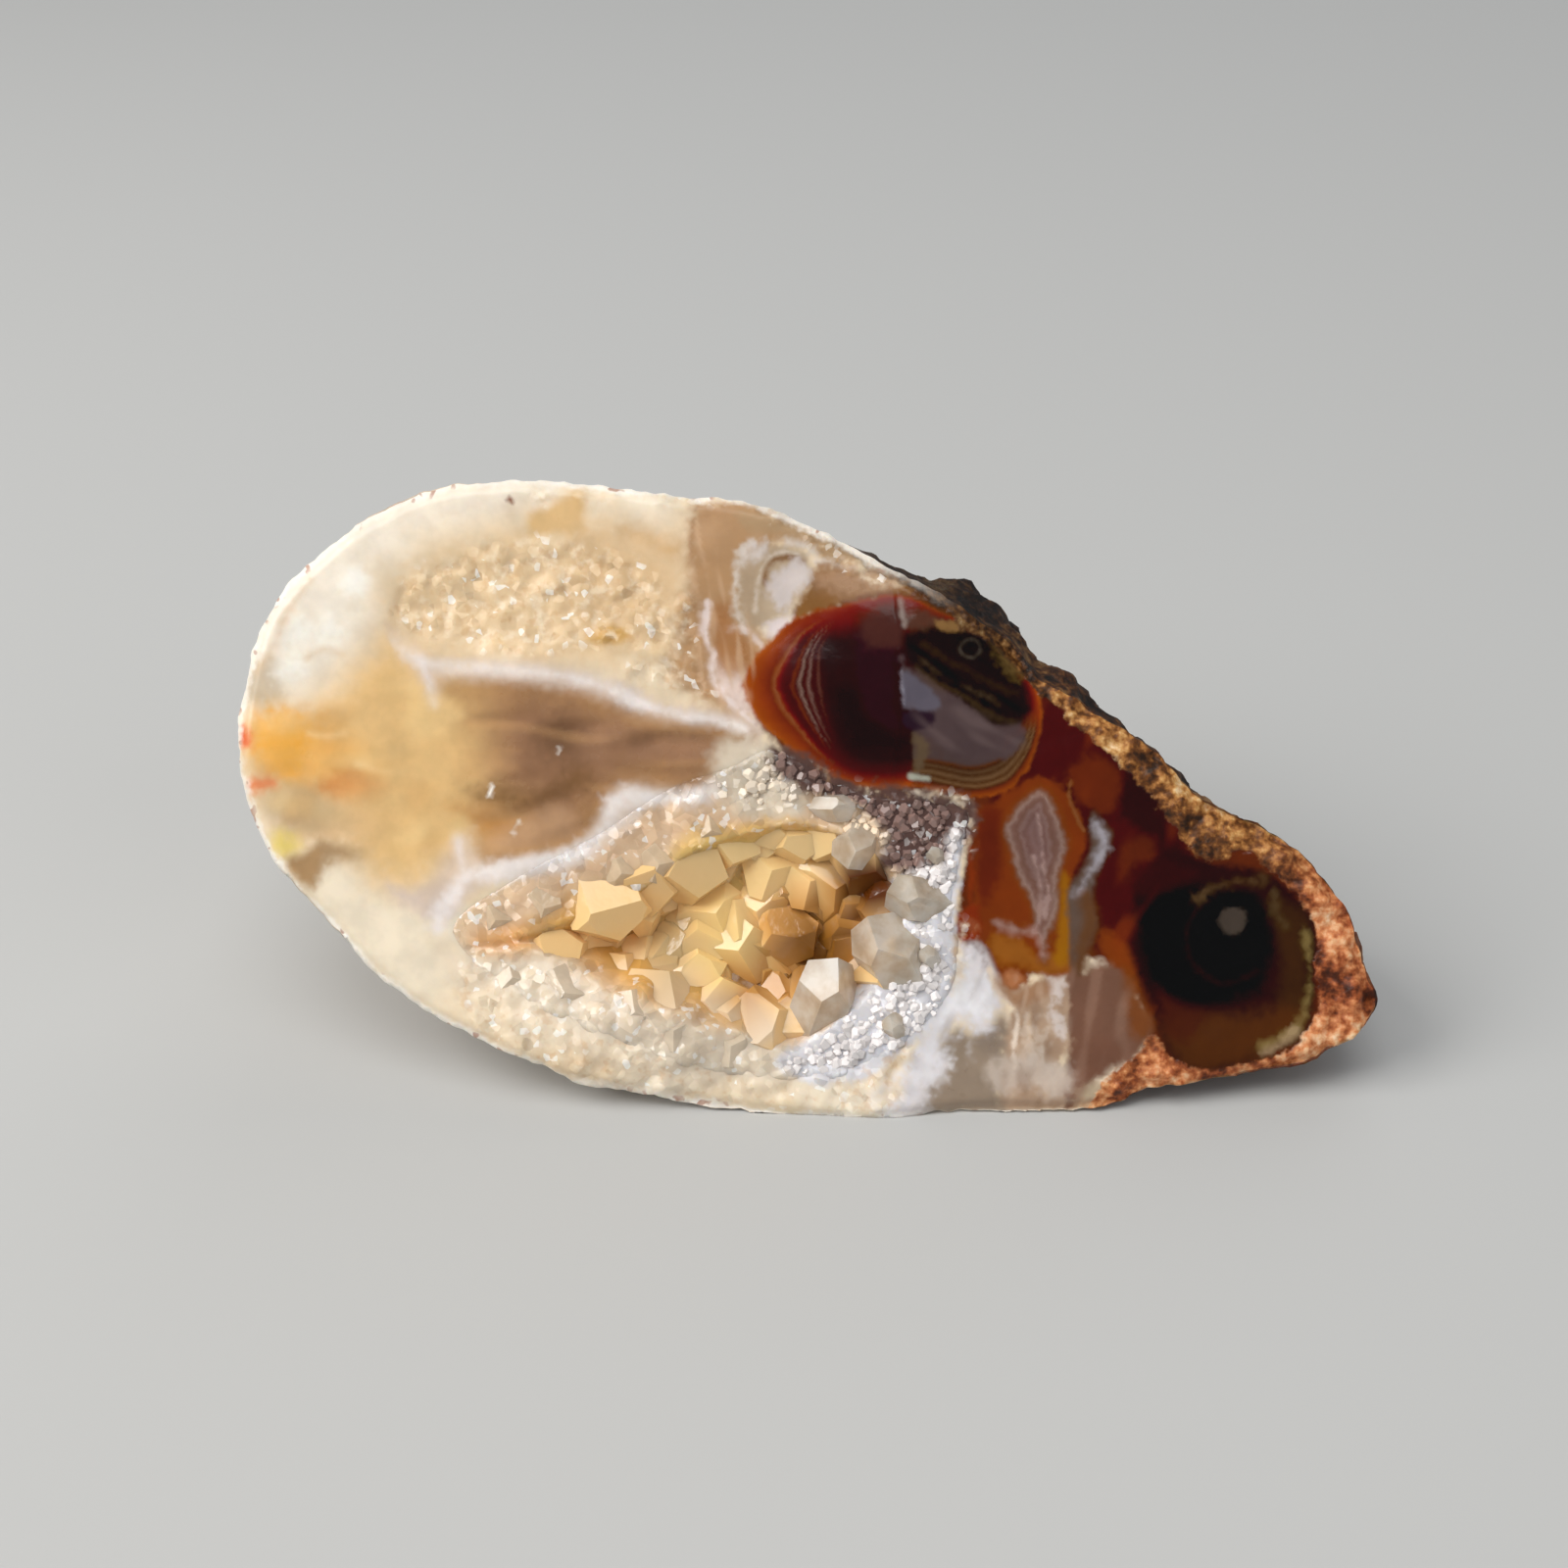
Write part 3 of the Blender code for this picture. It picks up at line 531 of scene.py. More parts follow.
def blend(tree, share, under, over, how="MIX"):
    """Return one colour laid over another."""
    mixed = add(tree, "ShaderNodeMix", data_type="RGBA", blend_type=how)
    for socket, value in ((0, share), (6, under), (7, over)):
        if isinstance(value, bpy.types.NodeSocket):
            tree.links.new(value, mixed.inputs[socket])
        else:
            mixed.inputs[socket].default_value = value
    return mixed.outputs[2]


def face_point(tree):
    """Return the place of a shaded point in face millimetres."""
    coordinates = add(tree, "ShaderNodeTexCoord").outputs["Object"]
    mapping = add(tree, "ShaderNodeMapping", {"Vector": coordinates}, vector_type="TEXTURE")
    mapping.inputs["Location"].default_value = face_place
    mapping.inputs["Rotation"].default_value = (0.5 * math.pi - FACE_LEAN, 0.0, 0.0)
    mapping.inputs["Scale"].default_value = (MM, MM, MM)
    return mapping.outputs["Vector"]


def cloud(tree, point, size, detail=2.0):
    """Return noise from 0 to 1 that changes over about the given size."""
    inputs = {"Vector": point, "Scale": 1.0 / size, "Detail": detail}
    return add(tree, "ShaderNodeTexNoise", inputs).outputs["Fac"]


def cells(tree, point, size):
    """Return the random colour of each cell of about the given size."""
    inputs = {"Vector": point, "Scale": 1.0 / size}
    return add(tree, "ShaderNodeTexVoronoi", inputs).outputs["Color"]


def colours_along(tree, value, stops):
    """Return the colour at a value from 0 to 1 along the given stops."""
    node = add(tree, "ShaderNodeValToRGB", {"Fac": value})
    elements = node.color_ramp.elements
    elements[0].position, elements[0].color = stops[0][0], tint(*stops[0][1])
    elements[1].position, elements[1].color = stops[-1][0], tint(*stops[-1][1])
    for place, rgb in stops[1:-1]:
        elements.new(place).color = tint(*rgb)
    return node.outputs["Color"]


def colour_parts(tree, colour):
    """Return the sockets of a colour's red, green and blue."""
    return add(tree, "ShaderNodeSeparateColor", {"Color": colour}).outputs


def bumped(tree, height, strength, distance):
    """Return the normal of bumps whose height runs from 0 to 1 over a distance in millimetres."""
    inputs = {"Height": height, "Strength": strength, "Distance": distance * MM}
    return add(tree, "ShaderNodeBump", inputs).outputs["Normal"]


def vectors(tree, operation, *values):
    """Return the result of one sum on vectors."""
    return add(tree, "ShaderNodeVectorMath", enumerate(values), operation=operation).outputs[0]


def glinting_normal(tree, point, share, size, strength, bump, rare):
    """Return the bumped normal, turned for some of the small crystal faces where the share says."""
    cell = cells(tree, point, size)
    chosen = ramp(tree, colour_parts(tree, cell)[2], rare - 0.02, rare + 0.02)
    turned = vectors(tree, "SUBTRACT", cell, (0.5, 0.5, 0.5))
    amount = sums(tree, "MULTIPLY", sums(tree, "MULTIPLY", share, strength), chosen)
    turned = add(tree, "ShaderNodeVectorMath", {0: turned, "Scale": amount}, operation="SCALE").outputs[0]
    return vectors(tree, "NORMALIZE", vectors(tree, "ADD", bump, turned))


def scattering(shader, weight, depth, radius=(1.0, 1.0, 1.0)):
    """Make the shader bend light as quartz does, and scatter it over a depth in millimetres."""
    shader.inputs["IOR"].default_value = QUARTZ_IOR
    shader.inputs["Subsurface Weight"].default_value = weight
    shader.inputs["Subsurface Radius"].default_value = radius
    shader.inputs["Subsurface Scale"].default_value = depth * MM


def linear(rgb):
    """Return the three linear parts of a colour given as it looks on a screen."""
    return np.array(tint(*rgb)[:3])


class Stain:
    """Colours laid over one another on a mesh's points, each by how far a point lies inside its outline."""

    REACH = 2.5     # millimetres beyond which an outline has no colour
    HAZE = 0.009    # light that the stone's gloss adds to every colour
    DARKEST = 0.0015
    WANDER = [(0.55, 0.33, 50.0), (0.25, 0.16, 54.0), (0.8, 1.5, 52.0)]     # height, size, layer of noise

    def __init__(self, flat, ground):
        self.flat = flat
        self.colour = np.tile(linear(ground), (len(flat), 1))
        self.wander = sum(height * rough(flat, size, layer) for height, size, layer in self.WANDER)

    def lay_all(self, layers):
        """Lay every layer in turn, each a patch, a line or streaks."""
        for kind, rgb, numbers, points in layers:
            getattr(self, kind)(rgb, points, *numbers)

    def lay(self, colour, near, inside, edge, wander, strength):
        """Lay a colour over all before it, by the distance inside its outline, softer on the pale lobe."""
        edge = edge * (1.0 + 0.7 * ease(-self.flat[near, 0], 0.0, 6.0))
        share = strength * ease(inside + wander * self.wander[near], -edge, edge)[:, None]
        self.colour[near] += share * (colour - self.colour[near])

    def patch(self, rgb, points, edge=0.25, wander=0.4, strength=1.0):
        """Lay a colour inside a smooth closed outline."""
        loop = smooth_line(points, PATCH_STEP)
        near = self.near(loop)
        self.lay(linear(rgb), near, distance_inside(self.flat[near], loop), edge, wander, strength)

    def line(self, rgb, points, width, edge=0.08, wander=0.2, strength=1.0):
        """Lay a colour along a smooth line of the given width."""
        path = smooth_line(points, LINE_STEP, closed=False)
        near = self.near(path)
        inside = 0.5 * width - gap_to_line(self.flat[near], path, False)[0]
        self.lay(linear(rgb), near, inside, edge, wander, strength)

    def streaks(self, rgb, points, angle, size, layer, low, high, strength):
        """Lay a colour inside an outline where noise runs high, drawn out at an angle in degrees."""
        loop = smooth_line(points, PATCH_STEP)
        near = self.near(loop)
        along = np.array([math.cos(math.radians(angle)), math.sin(math.radians(angle))])
        turned = self.flat[near] @ np.array([along, [-along[1], along[0]]]).T / size
        share = ease(rough(turned, 1.0, layer), low, high)
        share *= ease(distance_inside(self.flat[near], loop), -0.3, 0.5)
        self.colour[near] += strength * share[:, None] * (linear(rgb) - self.colour[near])

    def cloud(self, rgb, size, layer, low, high, strength):
        """Lay a colour over where slow noise runs high."""
        share = strength * ease(rough(self.flat, size, layer), low, high)[:, None]
        self.colour += share * (linear(rgb) - self.colour)

    def near(self, line):
        """Return the points that lie close enough to the line to take its colour."""
        low, high = line.min(0) - self.REACH, line.max(0) + self.REACH
        return np.flatnonzero(((self.flat > low) & (self.flat < high)).all(1))

    def keep(self, mesh):
        """Store the colours on the mesh's first points, less the haze that their gloss adds."""
        colours = np.ones((len(mesh.vertices), 4), np.float32)
        colours[:len(self.flat), :3] = np.maximum(self.colour - self.HAZE, self.DARKEST)
        mesh.attributes.new("stain", "FLOAT_COLOR", "POINT").data.foreach_set("color", colours.ravel())


def colours_at(values, stops):
    """Return the linear colour at each value from 0 to 1 along the given stops."""
    places = [stop[0] for stop in stops]
    colours = np.array([linear(stop[1]) for stop in stops])
    return np.stack([np.interp(values, places, colours[:, k]) for k in range(3)], axis=1)


# Colours of the broken face and its crust, each laid over those before it. After a patch's colour
# come the softness of its edge, how far the edge wanders and its strength; a line has its width first.
# Streaks have their angle, their length and width, their layer of noise, where the noise begins to
# show and shows in full, and their strength.
LOBE_LAYERS = [
    ("patch", (244, 233, 216), (0.9, 0.8), [(-26.5, 19.2), (-26, 23), (-23, 26.8), (-19, 28.8), (-13, 29.5),
     (-12.5, 28), (-15.5, 27.4), (-18.6, 26.4), (-20.2, 24.6), (-19.8, 22.9), (-20.8, 21.2), (-22.3, 19.7),
     (-23.5, 19), (-25, 19.3)]),
    ("patch", (238, 224, 200), (0.6, 0.6), [(-23.2, 11), (-21.5, 12), (-20.2, 11.6), (-19.2, 10.6),
     (-18, 10.1), (-17.2, 9.2), (-16.8, 8.2), (-16.5, 7.4), (-16.9, 5.2), (-19.5, 6.2), (-22, 8.6)]),
    ("patch", (196, 178, 152), (0.35, 0.5, 0.8), [(-25.6, 20.9), (-24.6, 21), (-23.9, 20.1), (-24.2, 19.1),
     (-25.7, 19), (-26.1, 20)]),
    # Painted highlights: four small near-white patches stand for light caught on glassy flakes of the pale
    # lobe.
    ("patch", (252, 246, 234), (0.3, 0.5), [(-24.2, 21.8), (-23.4, 22.8), (-22.8, 22.2), (-23.4, 21.4)]),
    ("patch", (252, 246, 234), (0.3, 0.5), [(-22.6, 22), (-21.9, 23.2), (-21.4, 22.2), (-22, 21.6)]),
    ("patch", (252, 246, 234), (0.3, 0.5), [(-24.4, 20.3), (-23.6, 21), (-22.9, 20.4), (-23.8, 20)]),
    ("patch", (252, 246, 234), (0.3, 0.5), [(-21.4, 24.2), (-20.6, 25), (-20.2, 24.4), (-20.8, 23.8)]),
    ("line", (216, 186, 150), (0.2, 0.2, 0.3, 0.7), [(-25.2, 20.4), (-24.4, 21.4), (-23.8, 23),
     (-22.8, 24.6)]),
    ("line", (220, 194, 160), (0.16, 0.14, 0.2, 0.7), [(-22.9, 21), (-22.2, 21.4), (-21.5, 21.2)]),
    ("patch", (228, 190, 132), (0.9, 0.5), [(-19.3, 22), (-19.9, 21.2), (-20.7, 20.5), (-21.7, 19.6),
     (-22.7, 18.7), (-24, 18.4), (-25.3, 18.3), (-25.7, 17.4), (-25.5, 16.4), (-25, 15.3), (-24.4, 14.5),
     (-23.8, 13.6), (-23.6, 12.6), (-22.4, 12.7), (-21, 12.4), (-20.4, 11.7), (-19.9, 11.1), (-19.2, 10.7),
     (-18.2, 10.7), (-17.4, 11.2), (-16.7, 12.2), (-15.6, 13.4), (-14.6, 15), (-14.4, 18), (-16.2, 20.3),
     (-17.4, 20), (-18.3, 21)]),
    ("patch", (219, 184, 140), (0.6, 0.4, 0.75), [(-24, 15), (-21.6, 14.8), (-20, 14.2), (-19.6, 13.2),
     (-21.2, 12.6), (-23.4, 13), (-24.2, 14)]),
    ("patch", (196, 172, 136), (0.6, 0.4, 0.7), [(-24.2, 15.4), (-22.4, 14.9), (-21.4, 14), (-22.4, 13.1),
     (-23.9, 13.4), (-25.2, 14.5)]),
    ("patch", (236, 178, 96), (0.5, 0.4, 0.85), [(-25.2, 18.3), (-22.4, 18.2), (-20.8, 17.2), (-19.4, 16.3),
     (-19.6, 15.4), (-21.6, 15.5), (-23.8, 15.7), (-25.2, 16.3)]),
    ("patch", (242, 170, 48), (0.35, 0.4, 0.95), [(-25, 18.1), (-23.6, 18.1), (-22.6, 17.9), (-22.8, 17.4),
     (-23.2, 16.9), (-23.6, 16.1), (-24.5, 16.2), (-25, 17)]),
    ("patch", (214, 142, 78), (0.3, 0.3, 0.9), [(-22.4, 15.2), (-21.4, 16), (-20.4, 16), (-19.4, 15.5),
     (-19.2, 15), (-20.4, 14.7), (-21.8, 14.8)]),
    ("line", (248, 214, 158), (0.22, 0.14, 0.1), [(-20.6, 16.2), (-19.6, 15.9), (-18.7, 15.85),
     (-17.8, 16)]),
    ("line", (250, 216, 160), (0.2, 0.14, 0.1, 0.8), [(-22.8, 17.6), (-22, 17.45), (-21.2, 17.6)]),
    ("patch", (226, 112, 70), (0.2, 0.3), [(-26, 18), (-25.5, 17.6), (-25.6, 17), (-26.1, 17.1)]),
    ("patch", (228, 138, 92), (0.2, 0.3), [(-25.6, 15.5), (-24.6, 15.6), (-24.3, 15.2), (-24.9, 14.9),
     (-25.7, 15)]),
    ("patch", (238, 214, 128), (0.3, 0.3), [(-24.2, 13.2), (-23.2, 12.6), (-23.4, 12.1), (-24.2, 12),
     (-24.6, 12.6)]),
    ("patch", (176, 142, 102), (0.2, 0.25), [(-23.9, 11.9), (-23, 12.3), (-22.4, 12.8), (-21.9, 12.4),
     (-22.3, 11.5), (-22.6, 10.6), (-23.1, 10.7), (-23.9, 11.4)]),
    ("patch", (172, 142, 106), (0.3, 0.3), [(-22.4, 12.7), (-21.2, 12.5), (-20.6, 12), (-21.6, 11.8),
     (-22.2, 11.9)]),
]
CORE_LAYERS = [
    ("patch", (218, 199, 184), (0.22, 0.35), [(-19.4, 22.6), (-18.4, 22.2), (-17.4, 21.2), (-16.4, 21.05),
     (-15, 21), (-13, 20.9), (-11.5, 20.7), (-10, 20.3), (-8.6, 19.8), (-7, 19), (-5, 18.75), (-3.6, 18.5),
     (-2.4, 17.9), (-2.2, 16.9), (-2.5, 16.1), (-3.2, 15.5), (-3.9, 15.1), (-5, 14.6), (-6, 14.4),
     (-7.6, 14.2), (-8, 13.6), (-8.8, 13.1), (-9.3, 12.4), (-10.5, 11.7), (-11.4, 11.4), (-13, 11.2),
     (-14.5, 10.9), (-15.5, 10.3), (-16.2, 9.5), (-16.9, 8.8), (-17.6, 9.3), (-18.9, 10), (-19.3, 10.7),
     (-18.2, 10.5), (-17.3, 10.9), (-16.9, 11.9), (-16.3, 12.8), (-15.8, 13.6), (-15.6, 15.5), (-15.8, 17.5),
     (-16.9, 18.8), (-17.3, 18.7), (-17.7, 19.7), (-18.3, 20.9), (-18.9, 21.8)]),
    ("patch", (178, 136, 92), (0.28, 0.22), [(-16.6, 20), (-14, 19.95), (-12, 19.7), (-10, 19.4),
     (-9, 18.95), (-7.8, 18.35), (-5.5, 18.05), (-4, 18), (-2.7, 17.65), (-2.6, 17.3), (-3.4, 16.5),
     (-4.2, 15.7), (-5.2, 15.15), (-6, 15), (-7, 15.05), (-8, 15.25), (-8.9, 15.15), (-9.3, 14.3),
     (-9.9, 13.3), (-10.5, 12.65), (-11.5, 12.15), (-13, 11.85), (-14.6, 11.6), (-15.1, 12), (-15.3, 13.1),
     (-15.8, 13.2), (-16.8, 13.6), (-17.4, 15), (-17.4, 17.4), (-17, 19.2)]),
    ("patch", (228, 190, 132), (1.6, 0.7), [(-19.6, 19.6), (-17, 19.2), (-15.2, 17.6), (-14.6, 15.4),
     (-15.4, 13.2), (-17.4, 12), (-20, 14)]),
    ("patch", (151, 113, 86), (0.9, 0.5, 0.95), [(-13.6, 19.3), (-11, 19.2), (-8.6, 18.4), (-5.5, 17.7),
     (-3, 17.4), (-4.2, 16.2), (-5.6, 15.5), (-8.4, 15.7), (-9.8, 14.6), (-11.2, 13.4), (-13, 14.4),
     (-14.2, 15.6), (-14.4, 17.6)]),
    ("patch", (168, 128, 100), (0.5, 0.6, 0.6), [(-10.4, 18.2), (-7.4, 17.6), (-4.4, 17.2), (-4.8, 16.6),
     (-8.2, 16.4), (-10.6, 17)]),
    ("patch", (108, 80, 60), (0.6, 0.5, 0.8), [(-12.2, 17.6), (-11.4, 18.3), (-10.6, 17.8), (-10.6, 16.8),
     (-11.4, 16.4), (-12.2, 16.8)]),
    ("patch", (116, 84, 52), (0.45, 0.5, 0.75), [(-15.6, 15.1), (-14.4, 15.2), (-12.4, 15.1), (-10.8, 15.9),
     (-10.2, 15.2), (-12, 14.4), (-13.8, 14), (-15.2, 14.3)]),
    ("patch", (186, 130, 66), (0.4, 0.4, 0.8), [(-16.4, 14.2), (-14.8, 14.1), (-13.6, 13.6), (-14.2, 12.9),
     (-15.4, 13.4)]),
    ("patch", (200, 160, 124), (0.4, 0.4, 0.7), [(-14.2, 13), (-11.6, 14.2), (-10.6, 13.2), (-12.4, 12.3),
     (-14.6, 12)]),
    ("line", (100, 74, 54), (0.3, 0.3, 0.3, 0.5), [(-8.2, 17.4), (-6.6, 17.55), (-4.6, 17.5)]),
    ("line", (242, 232, 226), (0.42, 0.2, 0.35), [(-18.8, 21.9), (-17.8, 20.9), (-16.1, 20.7), (-13.8, 20.5),
     (-11.2, 20.2), (-9.2, 19.6), (-7.7, 18.9), (-6, 18.4), (-3.7, 18.1), (-3, 17.7)]),
    ("line", (238, 228, 224), (0.34, 0.16, 0.2, 0.8), [(-17.8, 21), (-17.5, 20), (-17.2, 18.9)]),
    ("line", (240, 230, 224), (0.62, 0.24, 0.4), [(-17, 8.8), (-16.8, 9.6), (-15.8, 11), (-14.6, 11.35),
     (-12.6, 11.8), (-10.6, 12.2), (-9.5, 13.3), (-9.1, 14.4), (-8.3, 14.8), (-6.55, 14.6), (-4.8, 14.9),
     (-3.4, 16), (-3, 16.9)]),
    ("line", (234, 222, 216), (0.36, 0.18, 0.2, 0.8), [(-15.8, 11.2), (-16, 12), (-16.1, 12.9)]),
]
# Painted highlights: glints on small chips of the core, laid as tiny white strokes.
CORE_GLINTS = [                     # place and size
    (-11.5, 16.8, 0.16), (-14.6, 15.0, 0.24), (-13.5, 13.2, 0.14), (-13.3, 13.6, 0.12),
]
POCKET_LAYERS = [
    ("patch", (228, 199, 158), (0.6, 0.9, 0.9), [(-19.2, 22.6), (-18.9, 24.8), (-15.6, 26.4), (-11.5, 26.8),
     (-7.6, 25.9), (-6, 23.8), (-6.4, 21.2), (-10.5, 20.9), (-14.5, 21.1), (-17.6, 21.3)]),
    ("patch", (220, 184, 132), (0.2, 0.2), [(-12.9, 27.6), (-11.9, 27.9), (-11, 28.5), (-10.4, 28.5),
     (-10.4, 26.8), (-11.6, 26.6), (-12.8, 26.7)]),
    ("patch", (218, 186, 144), (0.6, 0.5, 0.8), [(-11, 26.4), (-6.2, 26.8), (-5.8, 23.4), (-8.2, 21.9),
     (-10.9, 22.6)]),
    ("patch", (206, 164, 100), (0.12, 0.15), [(-10.3, 21.9), (-9.6, 22.3), (-9.1, 22.5), (-8.3, 22.1),
     (-8.5, 21.75), (-9.4, 21.65)]),
    ("line", (212, 172, 122), (0.6, 0.3, 0.3, 0.7), [(-8.4, 26.7), (-7.4, 26.4), (-6.4, 25.9)]),
    ("line", (122, 84, 56), (0.08, 0.05, 0.1, 0.8), [(-5.2, 28.3), (-5.4, 27.3), (-5.5, 26.4),
     (-5.5, 25.2)]),
    ("line", (136, 76, 50), (0.2, 0.07, 0.05), [(-13.75, 28.2), (-13.65, 28.1)]),
]
COLUMN_LAYERS = [
    ("patch", (180, 140, 100), (0.35, 0.5, 0.95), [(-5.2, 28.2), (-2.7, 28.1), (-1, 27.4), (0.5, 26.8),
     (2, 25.7), (1.8, 25), (0.8, 25.2), (0, 25.9), (-1.5, 26), (-2.2, 24.2), (-2.4, 22.4), (-1.2, 21.6),
     (-2.6, 19.6), (-2.4, 18.2), (-4.6, 18.9), (-5.6, 19.4), (-6.3, 20.6), (-6.1, 22.4), (-5.7, 24),
     (-5.5, 26)]),
    ("patch", (176, 148, 114), (0.3, 0.4, 0.85), [(-3.2, 27.6), (-1, 27.3), (0.6, 26.6), (2.4, 25.5),
     (1.8, 25.3), (0.6, 25.6), (-0.2, 26.3), (-2, 26.6), (-3.2, 26.9)]),
    ("patch", (226, 204, 192), (0.3, 0.4), [(-4.7, 21.6), (-4.4, 20), (-3.8, 19), (-2.9, 18.2), (-2.3, 17.6),
     (-2.1, 18.6), (-2.7, 20), (-3.4, 20.8), (-4.2, 21)]),
    ("patch", (170, 120, 78), (0.3, 0.3, 0.9), [(-4.5, 23.3), (-3.8, 23.6), (-3.4, 22.6), (-2.8, 21.6),
     (-2.7, 20.8), (-3.4, 20.3), (-4.2, 20.5), (-4.6, 21.4), (-4.75, 22.3)]),
    ("line", (232, 214, 206), (0.22, 0.1, 0.25), [(-4.7, 23.4), (-4.85, 22.5), (-4.8, 21.8), (-4.5, 21.2),
     (-4.55, 20.3), (-4.2, 19.5), (-3.6, 18.9), (-2.7, 18.1)]),
    ("patch", (180, 158, 132), (0.25, 0.3, 0.9), [(-3.5, 22.6), (-3.5, 24.4), (-3.2, 25.8), (-2.2, 26.2),
     (-1, 26.1), (-0.2, 25.6), (-0.3, 24.2), (-1.2, 22.8), (-2.4, 22.4)]),
    ("line", (222, 210, 198), (0.26, 0.2, 0.5, 0.8), [(-3.2, 22.4), (-3.5, 23.4), (-3.5, 24.6), (-3.3, 25.6),
     (-2.7, 26.15), (-1.8, 26.25), (-0.8, 26.2), (-0.1, 25.9), (0.3, 25.4), (0.9, 25.2), (1.9, 25.05)]),
    ("patch", (216, 204, 196), (0.35, 0.5), [(-2.9, 25.4), (-2.9, 26.1), (-2.2, 26.3), (-1.9, 25.9),
     (-2.3, 25.3)]),
    ("line", (212, 196, 178), (0.2, 0.1, 0.2), [(-2.6, 23.1), (-2.5, 24.2), (-2.35, 25), (-1.95, 25.6),
     (-1.4, 25.8), (-0.7, 25.75)]),
    ("line", (142, 106, 74), (0.24, 0.12, 0.2), [(-2.15, 24.4), (-2.1, 25.1), (-1.65, 25.5), (-0.9, 25.55),
     (-0.45, 25.35)]),
    ("patch", (132, 92, 52), (0.25, 0.3), [(-0.9, 23.1), (-0.5, 23.8), (-0.1, 24.5), (0.3, 25.1), (1.2, 25),
     (2, 24.7), (3, 24.2), (4.2, 24.4), (5, 24.2), (4.4, 23.6), (2.8, 23.5), (1.2, 23.2), (0.2, 23),
     (-0.6, 22.7)]),
    ("patch", (166, 128, 94), (0.4, 0.5, 0.8), [(0.2, 25), (0.6, 24.2), (2.2, 23.9), (3.8, 24.2), (3.8, 25),
     (1.8, 25.2)]),
    ("patch", (208, 196, 190), (0.25, 0.5), [(-0.6, 25.45), (-0.25, 25), (-0.35, 24.5), (-0.75, 23.9),
     (-1.1, 23.2), (-1.5, 22.8), (-1.8, 23.2), (-2.05, 23.9), (-1.9, 24.6), (-1.3, 25.05), (-0.85, 25.35)]),
    ("patch", (220, 206, 202), (0.25, 0.4), [(-1.1, 22.8), (-1.3, 22), (-1.9, 21.9), (-2.2, 22.4),
     (-1.7, 22.9)]),
    ("line", (224, 206, 196), (0.3, 0.15, 0.3, 0.8), [(-3.8, 22.3), (-3.3, 22.4), (-2.7, 22), (-2.3, 21.5)]),
]
DARK_LAYERS = [
    ("patch", (96, 44, 18), (0.2, 0.3), [(-2.6, 19.6), (-1.2, 22.2), (2.6, 23.8), (6, 23.4), (10, 20.6),
     (14.6, 17.6), (18, 15), (23.4, 12.6), (25.6, 8.6), (25.8, 4.4), (21, 2), (15.6, 2), (15, 4.4),
     (14, 6.9), (11.6, 7.2), (8.4, 6.4), (6.6, 8.2), (6.9, 12), (7, 14.6), (3, 14.9), (0.2, 15.4),
     (-2.2, 17.6)]),
    ("patch", (94, 56, 30), (0.3, 0.5), [(4, 24.9), (6.3, 23.8), (8.6, 22.2), (10.6, 20.4), (12.8, 18.9),
     (15.4, 17), (14.6, 15.8), (12.6, 16.8), (10.8, 18.4), (9.4, 20.6), (7.8, 21.8), (6.2, 22.6),
     (5, 23.4)]),
    ("patch", (74, 26, 8), (0.3, 0.4), [(9.2, 19.6), (10.6, 19.4), (12.6, 18.2), (14.6, 16.4), (16.4, 14.4),
     (17.2, 12.4), (17.4, 11), (15.8, 9.2), (14.8, 8), (14.8, 6), (13.6, 6.8), (12.6, 8), (12.2, 9),
     (10.4, 12), (8, 14.6), (8.6, 17)]),
    ("patch", (108, 46, 14), (0.3, 0.4, 0.9), [(11.4, 15.8), (12.4, 16.4), (13.8, 16), (14.3, 14.6),
     (13.2, 14.2), (12, 14.7)]),
    ("patch", (50, 14, 8), (0.3, 0.4), [(14.2, 16), (15.6, 15.2), (16.8, 13.2), (16.2, 12.4), (15.2, 13),
     (14, 13.8)]),
    ("patch", (96, 42, 16), (0.35, 0.4, 0.9), [(14.2, 12.6), (15.4, 12.8), (15.8, 11.6), (15.4, 10.6),
     (14.2, 11.2)]),
    ("patch", (56, 16, 9), (0.3, 0.3), [(15.7, 12.6), (16.8, 12.4), (17.4, 11.6), (16.6, 10.6),
     (15.9, 11.2)]),
    ("patch", (128, 60, 18), (0.25, 0.3), [(12.9, 8.4), (13.6, 8.6), (14.4, 7.6), (14.9, 6), (14.2, 6),
     (13.4, 7)]),
]
